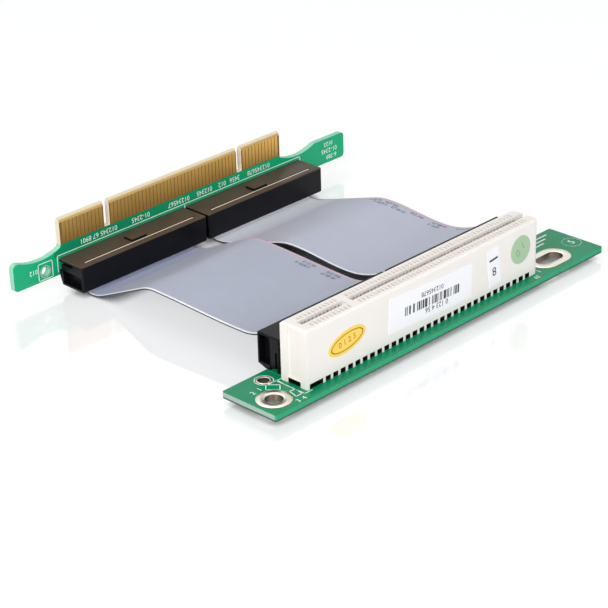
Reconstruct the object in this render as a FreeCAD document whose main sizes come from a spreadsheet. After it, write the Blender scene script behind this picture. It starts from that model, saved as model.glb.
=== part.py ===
# PCI riser card: a slot board and a bus-side edge board joined by two ribbon cables.
# Millimetres, +Z up, X along both boards, Y from the slot towards the edge board.
# The origin is under the middle of the whole card, on the surface that it rests on.
import FreeCAD, Part
import math
import os

import Sketcher

Vector = FreeCAD.Vector
DOC = FreeCAD.newDocument("pci_riser_card")

# Driving dimensions: alias, value in millimetres, degrees or pieces, and what it sets
SIZES = (
    # printed boards
    ("board_thickness", 1.6, "both printed boards"),
    ("tail_length", 1.8, "solder joints, from the board to their tips"),
    ("riser_width", 17.7, "slot board, front edge to back edge"),
    ("riser_left", 13.4, "slot board beyond the slot's left end"),
    ("riser_right", 23.76, "slot board beyond the slot's right end"),
    ("riser_corner", 0.4, "bevels of the slot board's corners"),
    ("host_reach", 93.3, "slot board's front edge to the edge board's front face"),
    ("host_height", 15.3, "edge board, lower edge to finger tips"),
    ("ear_height", 7.5, "edge board beside its tongue"),
    ("ear_left", 15.82, "edge board beyond the tongue's left side"),
    ("ear_right", 26.18, "edge board beyond the tongue's right side"),
    ("ear_corner", 1.2, "rounding of the edge board's ends"),
    ("relief_length", 14.0, "scooped relief beside the tongue"),
    ("relief_depth", 1.5, "depth of that relief"),
    ("tongue_fillet", 1.0, "rounding where the tongue meets the relief"),
    ("bevel_length", 1.1, "bevel of the finger edge, along the fingers"),
    ("bevel_depth", 0.45, "bevel of the finger edge, through the board"),
    ("notch_width", 1.95, "key notches in the tongue"),
    ("notch_depth", 7.1, "key notches in the tongue"),
    ("finger_margin", 0.63, "tongue beyond its end contact positions"),
    ("finger_width", 1.02, "gold fingers"),
    ("finger_length", 5.9, "gold fingers"),
    ("finger_thickness", 0.05, "gold fingers"),
    # contact positions, shared by the slot and the tongue
    ("contact_pitch", 1.27, "contact positions"),
    ("left_contacts", 11, "contacts left of the slot's key"),
    ("right_contacts", 49, "contacts right of the slot's key"),
    ("key_positions", 2, "contact positions that a key takes"),
    # card slot
    ("slot_setback", 2.9, "board's front edge to the slot's front face"),
    ("slot_end", 3.685, "slot housing beyond its end contacts"),
    ("slot_width", 8.6, "slot housing"),
    ("slot_height", 15.24, "slot housing above the board"),
    ("slot_corner", 1.4, "rounding of the slot's right end"),
    ("slot_chamfer", 0.5, "chamfer round the slot's top"),
    ("groove_width", 1.78, "groove that takes the card edge"),
    ("groove_depth", 10.0, "groove that takes the card edge"),
    ("groove_clearance", 0.2, "groove beyond each side of the card's tongue"),
    ("key_width", 1.78, "key rib across the groove"),
    ("end_notch_depth", 4.0, "notch that opens the groove at the right end"),
    ("cavity_width", 0.7, "contact cavities, along the slot"),
    ("cavity_reach", 3.05, "contact cavities, from the slot's middle outwards"),
    ("lip_thickness", 0.56, "lip between the groove and a cavity's window"),
    ("lip_height", 0.7, "lip between the groove and a cavity's window"),
    ("foot_height", 1.4, "gaps between the feet under the slot"),
    ("foot_gap", 1.7, "gaps between the feet under the slot"),
    ("foot_pitch", 2.54, "gaps between the feet under the slot"),
    ("foot_end", 2.4, "slot end to the first gap's pitch"),
    ("corner_foot", 0.7, "feet at the slot's left corners"),
    ("end_gap", 4.0, "gap between those two feet"),
    ("recess_width", 3.7, "shallow recess in the slot's left end"),
    ("recess_margin", 1.6, "that recess, from the slot's top and bottom"),
    ("recess_depth", 0.3, "that recess"),
    # slot contacts
    ("contact_width", 0.5, "spring contacts"),
    ("contact_thickness", 0.25, "spring contacts"),
    ("contact_bow", 0.2, "how far the contacts' bows enter the groove"),
    ("contact_apex", 10.4, "height of the contacts' bows above the board"),
    ("contact_tip", 14.2, "height of the contacts' tips above the board"),
    ("tip_gap", 0.3, "contact tip to the lip's outer side"),
    ("inner_row", 1.6, "inner solder row, from the slot's middle"),
    ("row_stagger", 1.27, "outer solder row beyond the inner one"),
    ("joint_width", 1.1, "solder joints at the board"),
    # cable connectors
    ("connector_shift", 3.3, "connector pair's middle to the right of the slot's"),
    ("connector_gap", 0.9, "between the two connectors of a pair"),
    ("connector_end", 2.85, "connector beyond its cable's edge"),
    ("connector_width", 7.4, "connectors, cut cable end to cable exit"),
    ("riser_overhang", 3.2, "connectors beyond the slot board's back edge"),
    ("host_overhang", 2.8, "connectors beyond the edge board's lower edge"),
    ("base_height", 6.6, "connector base, board to cable"),
    ("cover_thickness", 1.7, "connector cover"),
    ("connector_chamfer", 0.3, "chamfer of the connectors' outer edges"),
    ("channel_depth", 2.0, "end channels for the cover's arms"),
    ("channel_width", 5.9, "end channels for the cover's arms"),
    ("channel_floor", 1.3, "floor of the end channels on the cable side of the arms"),
    ("channel_roof", 0.4, "cover above that side of the end channels"),
    ("arm_width", 1.6, "cover's arms"),
    ("arm_thickness", 1.8, "cover's arms"),
    ("arm_length", 6.6, "cover's arms below the cover"),
    ("arm_shift", 1.35, "cover's arms off the connector's middle"),
    ("arm_root", 2.2, "wider root of the cover's arms"),
    ("arm_clearance", 0.1, "that root to the channel's far side"),
    ("undercut_length", 2.8, "slope under the connector's cable side"),
    ("undercut_height", 1.0, "slope under the connector's cable side"),
    ("boss_length", 5.0, "boss at the middle of the base"),
    ("boss_height", 0.6, "boss at the middle of the base"),
    ("boss_depth", 3.2, "boss at the middle of the base"),
    ("pin_row_shift", 1.6, "connector's middle to the middle of its solder rows"),
    ("pin_row_gap", 2.54, "between the connector's two solder rows"),
    # ribbon cables
    ("ribbon_ways", 60, "conductors of each ribbon cable"),
    ("ribbon_pitch", 0.635, "ribbon conductors"),
    ("ribbon_thickness", 0.7, "ribbon cables"),
    ("ribbon_clearance", 0.2, "connector seat beyond each cable edge"),
    ("ribbon_inset", 0.15, "cut cable end inside the connector"),
    ("bend_radius", 1.2, "cable's bend under the edge board, at its middle"),
    ("bend_drop", 0.1, "straight cable below the edge board's connectors"),
    ("lead_out", 0.2, "straight cable behind the slot board's connectors"),
    ("exit_bend", 1.4, "cable's bend where it leaves those connectors, at its middle"),
    ("wave_sweep", 0.9, "arcs of the cables' waves, as a share of the roundest"),
    ("drop_sweep", 0.6, "arcs of the cables' last drop, as a share of the roundest"),
    ("left_dip_reach", 7.5, "left cable's dip, from its lead-out"),
    ("left_dip_level", 8.65, "left cable's dip above the surface"),
    ("left_crest_reach", 25.0, "left cable's crest, from its bend"),
    ("left_crest_level", 9.6, "left cable's crest above the surface"),
    ("right_dip_reach", 15.0, "right cable's dip, from its lead-out"),
    ("right_dip_level", 6.2, "right cable's dip above the surface"),
    ("right_crest_reach", 29.5, "right cable's crest, from its bend"),
    ("right_crest_level", 7.6, "right cable's crest above the surface"),
    # plated holes
    ("mount_hole", 4.5, "mounting holes, inside their plating"),
    ("mount_pad", 8.7, "plated pads of the mounting holes"),
    ("mount_inset", 5.4, "round mounting hole, from the board's left end"),
    ("mount_setback", 5.97, "mounting holes, from the board's front edge"),
    ("slotted_inset", 12.85, "slotted hole's far centre, from the board's right end"),
    ("slotted_travel", 4.5, "slotted hole, between its end centres"),
    ("plating", 0.1, "plated walls and pads"),
    ("tooling_hole", 2.6, "small holes beside the connectors"),
    ("tooling_pad", 3.9, "plated pad of the slot board's small hole"),
    ("tooling_gap", 4.57, "small holes, from the connector's end"),
    ("tooling_setback", 3.5, "slot board's small hole, from its back edge"),
    ("host_tooling_rise", 2.5, "edge board's small hole, from its lower edge"),
    # stickers on the slot's front face
    ("sticker_thickness", 0.1, "stickers"),
    ("oval_length", 12.8, "oval sticker"),
    ("oval_width", 5.7, "oval sticker"),
    ("oval_place", 13.4, "oval sticker's middle, from the slot's left end"),
    ("oval_tilt", 9.0, "oval sticker's turn"),
    ("label_length", 30.5, "wide label"),
    ("label_width", 9.2, "wide label"),
    ("label_place", 43.3, "wide label's middle, from the slot's left end"),
    ("label_tilt", -2.2, "wide label's turn"),
    ("tag_length", 4.5, "narrow label"),
    ("tag_width", 10.5, "narrow label"),
    ("tag_place", 67.1, "narrow label's middle, from the slot's left end"),
    ("tag_tilt", 7.0, "narrow label's turn"),
    ("round_diameter", 7.6, "round sticker"),
    ("round_place", 77.6, "round sticker's middle, from the slot's left end"),
    ("sticker_rise", 7.9, "stickers' middle above the board"),
    ("round_rise", 9.0, "round sticker's middle above the board"),
)


class Size:
    """A length that carries its number and the sheet formula that gives it."""

    def __init__(self, text, value):
        self.text = text
        self.value = value

    @staticmethod
    def of(item):
        return item if isinstance(item, Size) else Size(repr(item), item)

    def __add__(self, other):
        other = Size.of(other)
        return Size(f"({self.text} + {other.text})", self.value + other.value)

    def __sub__(self, other):
        other = Size.of(other)
        return Size(f"({self.text} - {other.text})", self.value - other.value)

    def __mul__(self, other):
        other = Size.of(other)
        return Size(f"({self.text} * {other.text})", self.value * other.value)

    def __truediv__(self, other):
        other = Size.of(other)
        return Size(f"({self.text} / {other.text})", self.value / other.value)

    def __radd__(self, other):
        return Size.of(other) + self

    def __rsub__(self, other):
        return Size.of(other) - self

    def __rmul__(self, other):
        return Size.of(other) * self

    def __neg__(self):
        return Size(f"(0 - {self.text})", -self.value)

    def __floor__(self):
        return Size(f"floor({self.text})", math.floor(self.value))


def fill_sheet():
    """Write the driving dimensions to the sheet and return them by alias."""
    sheet = DOC.addObject("Spreadsheet::Sheet", "Dims")
    for row, (alias, value, note) in enumerate(SIZES, 1):
        sheet.set(f"A{row}", note)
        sheet.set(f"B{row}", str(value))
        sheet.setAlias(f"B{row}", alias)
    DOC.recompute()
    return {alias: Size(f"Dims.{alias}", getattr(sheet, alias)) for alias, value, note in SIZES}


class Dims:
    """The sheet's sizes as attributes."""


dims = Dims()
vars(dims).update(fill_sheet())

# Sizes that follow from the driving ones
zero = Size("0", 0)
positions = dims.left_contacts + dims.key_positions + dims.right_contacts
slot_length = (positions - 1) * dims.contact_pitch + 2 * dims.slot_end
tongue_width = positions * dims.contact_pitch + 2 * dims.finger_margin
groove_length = tongue_width + 2 * dims.groove_clearance
groove_floor = dims.slot_height - dims.groove_depth
key_place = (dims.left_contacts + dims.key_positions / 2 - positions / 2) * dims.contact_pitch
first_contact = (1 - positions) / 2 * dims.contact_pitch
first_right = first_contact + (dims.left_contacts + dims.key_positions) * dims.contact_pitch
riser_length = dims.riser_left + slot_length + dims.riser_right
slot_middle = (dims.riser_left - dims.riser_right) / 2
overall_depth = dims.host_reach + dims.board_thickness + dims.tail_length
front_edge = -overall_depth / 2
riser_top = dims.tail_length + dims.board_thickness
host_face = front_edge + dims.host_reach
ribbon_width = dims.ribbon_ways * dims.ribbon_pitch
connector_length = ribbon_width + 2 * dims.connector_end
connector_step = (connector_length + dims.connector_gap) / 2
cable_level = dims.base_height + dims.ribbon_thickness / 2
cover_level = dims.base_height + dims.ribbon_thickness
channel_inner = connector_length / 2 - dims.channel_depth
arm_low = dims.arm_shift - dims.arm_width / 2
pair_middle = slot_middle + dims.connector_shift
host_low = dims.host_overhang + dims.bend_drop + dims.bend_radius + dims.ribbon_thickness / 2
mount_place = dims.mount_inset - riser_length / 2
slotted_far = riser_length / 2 - dims.slotted_inset
tooling_back = dims.riser_width - dims.tooling_setback
tooling_place = pair_middle - connector_step - connector_length / 2 - dims.tooling_gap


class Frame:
    """A place in the card: three bound coordinates and a fixed turn."""

    def __init__(self, across, back, up, turn=None):
        self.base = {"x": across, "y": back, "z": up}
        self.turn = turn or FreeCAD.Rotation()

    def hold(self, item):
        item.Placement = FreeCAD.Placement(Vector(), self.turn)
        for axis, place in self.base.items():
            bind(item, f"Placement.Base.{axis}", place)


def bind(item, name, size):
    """Bind a property to the sheet."""
    item.setExpression(name, Size.of(size).text)


TURN_BACK = FreeCAD.Rotation(Vector(0, 0, 1), 180)
STAND_UP = FreeCAD.Rotation(Vector(1, 0, 0), 90)
slot_back = front_edge + dims.slot_setback + dims.slot_width / 2
riser_connector_back = (
    front_edge + dims.riser_width + dims.riser_overhang - dims.connector_width / 2
)
host_connector_up = host_low + dims.connector_width / 2 - dims.host_overhang
RISER_FRAME = Frame(zero, front_edge, riser_top)
SLOT_FRAME = Frame(slot_middle, slot_back, riser_top)
HOST_FRAME = Frame(slot_middle, host_face, host_low, STAND_UP)
SIDES = {"left": pair_middle - connector_step, "right": pair_middle + connector_step}


def riser_connector_frame(side):
    return Frame(SIDES[side], riser_connector_back, riser_top, TURN_BACK)


def host_connector_frame(side):
    return Frame(SIDES[side], host_face, host_connector_up, STAND_UP)


# Sketch and feature helpers
def new_body(name, frame):
    body = DOC.addObject("PartDesign::Body", name)
    body.Label = name
    frame.hold(body)
    return body


def origin_part(body, role):
    return next(part for part in body.Origin.OriginFeatures if part.Role == role)


def new_sketch(body, plane="XY_Plane", lift=zero):
    """A sketch on one of the body's own planes, lifted along that plane's normal."""
    sketch = body.newObject("Sketcher::SketchObject", f"{body.Name}_sketch")
    sketch.AttachmentSupport = [(origin_part(body, plane), "")]
    sketch.MapMode = "FlatFace"
    bind(sketch, "AttachmentOffset.Base.z", lift)
    return sketch


def pin_point(sketch, geometry, end, across, up):
    """Bind one point of a sketch to the sheet, measured from the sketch's origin."""
    for kind, size in (("DistanceX", across), ("DistanceY", up)):
        size = Size.of(size)
        index = sketch.addConstraint(Sketcher.Constraint(kind, -1, 1, geometry, end, size.value))
        sketch.setExpression(f"Constraints[{index}]", size.text)


def polygon(sketch, corners):
    """A closed outline of straight sides with every corner bound to the sheet."""
    places = [Vector(Size.of(x).value, Size.of(y).value, 0) for x, y in corners]
    count = len(corners)
    first = sketch.GeometryCount
    for index in range(count):
        sketch.addGeometry(Part.LineSegment(places[index], places[(index + 1) % count]), False)
    for index in range(count):
        ends = (first + index, 2, first + (index + 1) % count, 1)
        sketch.addConstraint(Sketcher.Constraint("Coincident", *ends))
    for index, (across, up) in enumerate(corners):
        pin_point(sketch, first + index, 1, across, up)


def rectangle(sketch, left, right, low, high):
    polygon(sketch, ((left, low), (right, low), (right, high), (left, high)))


def circle(sketch, across, up, radius):
    index = sketch.addGeometry(
        Part.Circle(Vector(across.value, up.value, 0), Vector(0, 0, 1), radius.value), False
    )
    pin_point(sketch, index, 3, across, up)
    bound = sketch.addConstraint(Sketcher.Constraint("Radius", index, radius.value))
    sketch.setExpression(f"Constraints[{bound}]", radius.text)


def obround(sketch, left, right, up, radius):
    """Two half circles joined by straight sides."""
    quarter = math.pi / 2
    upright = Vector(0, 0, 1)
    low, high = up.value - radius.value, up.value + radius.value
    starts = (Vector(left.value, low, 0), Vector(right.value, high, 0))
    stops = (Vector(right.value, low, 0), Vector(left.value, high, 0))
    right_end = Part.Circle(Vector(right.value, up.value, 0), upright, radius.value)
    left_end = Part.Circle(Vector(left.value, up.value, 0), upright, radius.value)
    first = sketch.GeometryCount
    sketch.addGeometry(Part.LineSegment(starts[0], stops[0]), False)
    sketch.addGeometry(Part.ArcOfCircle(right_end, -quarter, quarter), False)
    sketch.addGeometry(Part.LineSegment(starts[1], stops[1]), False)
    sketch.addGeometry(Part.ArcOfCircle(left_end, quarter, 3 * quarter), False)
    for index in range(4):
        ends = (first + index, 2, first + (index + 1) % 4, 1)
        sketch.addConstraint(Sketcher.Constraint("Tangent", *ends))
    pin_point(sketch, first + 1, 3, right, up)
    pin_point(sketch, first + 3, 3, left, up)
    bound = sketch.addConstraint(Sketcher.Constraint("Radius", first + 1, radius.value))
    sketch.setExpression(f"Constraints[{bound}]", radius.text)


def scoop(sketch, left, right, up, depth):
    """A circular segment that hangs below a level chord."""
    chord = right - left
    radius = chord * chord / (8 * depth) + depth / 2
    ends = (Vector(left.value, up.value, 0), Vector(right.value, up.value, 0))
    lowest = Vector((left.value + right.value) / 2, up.value - depth.value, 0)
    arc = sketch.addGeometry(Part.Arc(ends[0], lowest, ends[1]), False)
    line = sketch.addGeometry(Part.LineSegment(ends[1], ends[0]), False)
    sketch.addConstraint(Sketcher.Constraint("Coincident", arc, 2, line, 1))
    sketch.addConstraint(Sketcher.Constraint("Coincident", line, 2, arc, 1))
    pin_point(sketch, line, 2, left, up)
    pin_point(sketch, line, 1, right, up)
    bound = sketch.addConstraint(Sketcher.Constraint("Radius", arc, radius.value))
    sketch.setExpression(f"Constraints[{bound}]", radius.text)


def add_feature(body, kind, sketch, length=None, reverse=False, symmetric=False):
    """Pad or pocket a sketch; a pocket with no length goes right through."""
    feature = body.newObject(f"PartDesign::{kind}", f"{body.Name}_{kind}")
    feature.Profile = sketch
    feature.Reversed = reverse
    if symmetric:
        feature.SideType = "Symmetric"
    if length is None:
        feature.Type = "ThroughAll"
    else:
        bind(feature, "Length", length)
    sketch.Visibility = False
    body.Tip = feature
    DOC.recompute()
    return feature


def repeat(body, features, spacing, count):
    """Repeat features along X."""
    pattern = body.newObject("PartDesign::LinearPattern", f"{body.Name}_pattern")
    pattern.Originals = features
    pattern.Direction = (origin_part(body, "X_Axis"), [""])
    pattern.Mode = "Spacing"
    bind(pattern, "Offset", spacing)
    bind(pattern, "Occurrences", count)
    body.Tip = pattern
    DOC.recompute()
    return pattern


def dress_edges(body, kind, prop, size, chosen):
    """Fillet or chamfer the edges of the body's tip that a test picks."""
    base = body.Tip
    names = [f"Edge{i}" for i, edge in enumerate(base.Shape.Edges, 1) if chosen(edge)]
    feature = body.newObject(f"PartDesign::{kind}", f"{body.Name}_{kind}")
    feature.Base = (base, names)
    bind(feature, prop, size)
    body.Tip = feature
    DOC.recompute()
    return feature


def near(value, size):
    return abs(value - size.value) < 1e-4


def is_upright(edge):
    box = edge.BoundBox
    return box.XLength < 1e-4 and box.YLength < 1e-4


def group(name, frame, solids):
    """Separate equal solids that share one node."""
    feature = DOC.addObject("Part::Feature", name)
    feature.Label = name
    feature.Shape = Part.makeCompound(solids)
    frame.hold(feature)
    return feature


# Slot board
def make_riser_board():
    body = new_body("riser_board", RISER_FRAME)
    plate = new_sketch(body)
    rectangle(plate, -riser_length / 2, riser_length / 2, zero, dims.riser_width)
    add_feature(body, "Pad", plate, dims.board_thickness, reverse=True)
    dress_edges(body, "Chamfer", "Size", dims.riser_corner, is_upright)
    holes = new_sketch(body)
    mount_radius = dims.mount_hole / 2 + dims.plating
    slotted_near = slotted_far - dims.slotted_travel
    circle(holes, mount_place, dims.mount_setback, mount_radius)
    obround(holes, slotted_near, slotted_far, dims.mount_setback, mount_radius)
    circle(holes, tooling_place, tooling_back, dims.tooling_hole / 2 + dims.plating)
    add_feature(body, "Pocket", holes)
    return body


def make_round_plating(name, across, setback, hole, pad):
    """Plated barrel, flush below, with a bare pad on the board's upper face."""
    body = new_body(name, Frame(across, front_edge + setback, riser_top))
    section = new_sketch(body, "XZ_Plane")
    inner, wall, rim = hole / 2, hole / 2 + dims.plating, pad / 2
    low = -dims.board_thickness
    polygon(section, (
        (inner, low), (wall, low), (wall, zero), (rim, zero), (rim, dims.plating), (inner, dims.plating),
    ))
    turned = body.newObject("PartDesign::Revolution", f"{name}_turned")
    turned.Profile = section
    turned.ReferenceAxis = (origin_part(body, "Z_Axis"), [""])
    turned.Angle = 360
    body.Tip = turned
    return body


def make_slotted_plating():
    across = slotted_far - dims.slotted_travel / 2
    body = new_body("slotted_plating", Frame(across, front_edge + dims.mount_setback, riser_top))
    half, inner = dims.slotted_travel / 2, dims.mount_hole / 2
    layers = (
        (-dims.board_thickness, inner + dims.plating, dims.board_thickness),
        (zero, dims.mount_pad / 2, dims.plating),
    )
    for level, outer, height in layers:
        sketch = new_sketch(body, lift=level)
        obround(sketch, -half, half, zero, outer)
        obround(sketch, -half, half, zero, inner)
        add_feature(body, "Pad", sketch, height)
    return body


def make_plated_holes():
    mount = (mount_place, dims.mount_setback, dims.mount_hole, dims.mount_pad)
    tooling = (tooling_place, tooling_back, dims.tooling_hole, dims.tooling_pad)
    holes = DOC.addObject("Part::Compound", "plated_holes")
    holes.Label = "plated_holes"
    holes.Links = [
        make_round_plating("mount_plating", *mount),
        make_round_plating("tooling_plating", *tooling),
        make_slotted_plating(),
    ]
    return holes


# Card slot
def make_slot_housing():
    body = new_body("slot_housing", SLOT_FRAME)
    half_length, half_width = slot_length / 2, dims.slot_width / 2
    block = new_sketch(body)
    rectangle(block, -half_length, half_length, -half_width, half_width)
    add_feature(body, "Pad", block, dims.slot_height)
    dress_edges(
        body, "Fillet", "Radius", dims.slot_corner,
        lambda edge: is_upright(edge) and near(edge.BoundBox.XMax, half_length),
    )
    dress_edges(
        body, "Chamfer", "Size", dims.slot_chamfer,
        lambda edge: near(edge.BoundBox.ZMin, dims.slot_height),
    )

    groove = new_sketch(body, lift=dims.slot_height)
    key_left, key_right = key_place - dims.key_width / 2, key_place + dims.key_width / 2
    side = dims.groove_width / 2
    rectangle(groove, -groove_length / 2, key_left, -side, side)
    rectangle(groove, key_right, groove_length / 2, -side, side)
    add_feature(body, "Pocket", groove, dims.groove_depth)
    end_notch = new_sketch(body, lift=dims.slot_height)
    rectangle(end_notch, zero, half_length + dims.slot_end, -side, side)
    add_feature(body, "Pocket", end_notch, dims.end_notch_depth)

    recess = new_sketch(body, "YZ_Plane", -half_length)
    recess_side = dims.recess_width / 2
    recess_top = dims.slot_height - dims.recess_margin
    rectangle(recess, -recess_side, recess_side, dims.recess_margin, recess_top)
    add_feature(body, "Pocket", recess, dims.recess_depth, reverse=True)

    gaps = math.floor((slot_length - 2 * dims.foot_end) / dims.foot_pitch)
    gap_middle = (1 - gaps) / 2 * dims.foot_pitch
    gap_left, gap_right = gap_middle - dims.foot_gap / 2, gap_middle + dims.foot_gap / 2
    feet = new_sketch(body)
    rectangle(feet, gap_left, gap_right, -half_width, half_width)
    gap = add_feature(body, "Pocket", feet, dims.foot_height, reverse=True)
    repeat(body, [gap], dims.foot_pitch, gaps)
    left_gap = new_sketch(body)
    foot_right, end_side = dims.corner_foot - half_length, dims.end_gap / 2
    polygon(left_gap, (
        (-half_length, -end_side), (foot_right, -end_side), (foot_right, -half_width),
        (gap_left, -half_width), (gap_left, half_width), (foot_right, half_width),
        (foot_right, end_side), (-half_length, end_side),
    ))
    add_feature(body, "Pocket", left_gap, dims.foot_height, reverse=True)

    lip = side + dims.lip_thickness
    throat_top = dims.slot_height - dims.lip_height
    banks = ((first_contact, dims.left_contacts), (first_right, dims.right_contacts))
    for middle, count in banks:
        left, right = middle - dims.cavity_width / 2, middle + dims.cavity_width / 2
        windows = new_sketch(body, lift=dims.slot_height)
        rectangle(windows, left, right, lip, dims.cavity_reach)
        rectangle(windows, left, right, -dims.cavity_reach, -lip)
        window = add_feature(body, "Pocket", windows, dims.groove_depth)
        throats = new_sketch(body, lift=throat_top)
        rectangle(throats, left, right, -lip, lip)
        throat = add_feature(body, "Pocket", throats, dims.groove_depth - dims.lip_height)
        repeat(body, [window, throat], dims.contact_pitch, count)
    return body


def contact_places():
    """Middles of the slot's contacts and whether each tail is in the outer row."""
    left, key, right = dims.left_contacts, dims.key_positions, dims.right_contacts
    taken = [*range(int(left.value)), *range(int((left + key).value), int(positions.value))]
    assert len(taken) == int((left + right).value)
    for index in taken:
        yield first_contact.value + index * dims.contact_pitch.value, index % 2 == 1


def contact_row(outer):
    row = dims.inner_row + dims.row_stagger if outer else dims.inner_row
    return row.value


def spring_contact(across, outer, side):
    """Bent strip: a foot on the cavity's floor, a bow into the groove and a tip behind the lip."""
    thickness = dims.contact_thickness.value
    groove_side = dims.groove_width.value / 2
    foot = contact_row(outer) - thickness / 2
    bow = groove_side - dims.contact_bow.value
    tip = groove_side + dims.lip_thickness.value + dims.tip_gap.value
    line = (
        (foot, groove_floor.value), (bow, dims.contact_apex.value), (tip, dims.contact_tip.value),
    )
    section = [*line, *((back + thickness, up) for back, up in reversed(line))]
    left = across - dims.contact_width.value / 2
    corners = [Vector(left, side * back, up) for back, up in section]
    face = Part.Face(Part.makePolygon([*corners, corners[0]]))
    return face.extrude(Vector(dims.contact_width.value, 0, 0))


def make_slot_contacts():
    for name, side in (("slot_contacts_front", -1), ("slot_contacts_back", 1)):
        solids = [spring_contact(across, outer, side) for across, outer in contact_places()]
        group(name, SLOT_FRAME, solids)


def solder_joint(across, back, level):
    """Solder cone with four sides, hanging from a board face."""
    half = dims.joint_width.value / 2
    turns = ((-half, -half), (half, -half), (half, half), (-half, half))
    foot = [Vector(across + x, back + y, level) for x, y in turns]
    tip = Vector(across, back, level - dims.tail_length.value)
    sides = [Part.makePolygon([foot[i], foot[(i + 1) % 4], tip, foot[i]]) for i in range(4)]
    faces = [Part.Face(Part.makePolygon([*foot, foot[0]])), *map(Part.Face, sides)]
    solid = Part.Solid(Part.makeShell(faces))
    if solid.Volume < 0:
        solid.reverse()
    return solid


def make_slot_joints():
    below = -dims.board_thickness.value
    solids = []
    for side in (-1, 1):
        for across, outer in contact_places():
            solids.append(solder_joint(across, side * contact_row(outer), below))
    group("slot_joints", SLOT_FRAME, solids)


# Cable connectors
def connector_block(body, level, height):
    """Rectangular block with bevelled upright edges."""
    half_length, half_width = connector_length / 2, dims.connector_width / 2
    plan = new_sketch(body, lift=level)
    rectangle(plan, -half_length, half_length, -half_width, half_width)
    add_feature(body, "Pad", plan, height)
    dress_edges(body, "Chamfer", "Size", dims.connector_chamfer, is_upright)


def both_ends(body, level, low, high, inner, outer):
    """Sketch of two matching rectangles at the connector's ends."""
    sketch = new_sketch(body, lift=level)
    rectangle(sketch, inner, outer, low, high)
    rectangle(sketch, -outer, -inner, low, high)
    return sketch


def make_connector_base(name, frame):
    body = new_body(name, frame)
    connector_block(body, zero, cover_level)
    half_width = dims.connector_width / 2
    side = dims.channel_width / 2
    ends = (channel_inner, connector_length / 2)
    blind = both_ends(body, cover_level, -side, arm_low, *ends)
    add_feature(body, "Pocket", blind, cover_level - dims.channel_floor)
    through = both_ends(body, cover_level, arm_low, side, *ends)
    add_feature(body, "Pocket", through)
    seat_side = ribbon_width / 2 + dims.ribbon_clearance
    seat = new_sketch(body, lift=cover_level)
    rectangle(seat, -seat_side, seat_side, -half_width, half_width)
    add_feature(body, "Pocket", seat, dims.ribbon_thickness)
    boss = new_sketch(body, lift=dims.base_height - dims.boss_depth)
    boss_side = dims.boss_length / 2
    rectangle(boss, -boss_side, boss_side, half_width - dims.boss_height, half_width + dims.boss_height)
    add_feature(body, "Pad", boss, dims.boss_depth)
    undercut = new_sketch(body, "YZ_Plane", -connector_length / 2)
    polygon(undercut, (
        (-half_width, zero), (dims.undercut_length - half_width, zero),
        (-half_width, dims.undercut_height),
    ))
    add_feature(body, "Pocket", undercut, connector_length, reverse=True)
    return body


def make_connector_cover(name, frame):
    body = new_body(name, frame)
    connector_block(body, cover_level, dims.cover_thickness)
    top = cover_level + dims.cover_thickness
    dress_edges(
        body, "Chamfer", "Size", dims.connector_chamfer,
        lambda edge: near(edge.BoundBox.ZMin, top),
    )
    side = dims.channel_width / 2
    roofed = both_ends(body, cover_level, -side, arm_low, channel_inner, connector_length / 2)
    add_feature(body, "Pocket", roofed, dims.cover_thickness - dims.channel_roof, reverse=True)
    faces = (channel_inner, channel_inner + dims.arm_thickness)
    arms = both_ends(body, cover_level, arm_low, arm_low + dims.arm_width, *faces)
    add_feature(body, "Pad", arms, dims.arm_length, reverse=True)
    roots = both_ends(body, cover_level, arm_low + dims.arm_width, side - dims.arm_clearance, *faces)
    add_feature(body, "Pad", roots, dims.arm_root, reverse=True)
    return body


def make_connector_joints(name, frame):
    """Two rows of solder joints on the far side of the board."""
    below = -dims.board_thickness.value
    per_row = int(dims.ribbon_ways.value) // 2
    step = 2 * dims.ribbon_pitch.value
    rows = (
        dims.pin_row_shift.value - dims.pin_row_gap.value / 2,
        dims.pin_row_shift.value + dims.pin_row_gap.value / 2,
    )
    solids = []
    for row in rows:
        for index in range(per_row):
            across = (index - (per_row - 1) / 2) * step
            solids.append(solder_joint(across, row, below))
    group(name, frame, solids)


def make_connectors():
    boards = (("riser", riser_connector_frame), ("host", host_connector_frame))
    for board, frame_of in boards:
        for side in SIDES:
            frame = frame_of(side)
            make_connector_base(f"{board}_base_{side}", frame)
            make_connector_cover(f"{board}_cover_{side}", frame)
            make_connector_joints(f"{board}_joints_{side}", frame)


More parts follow.
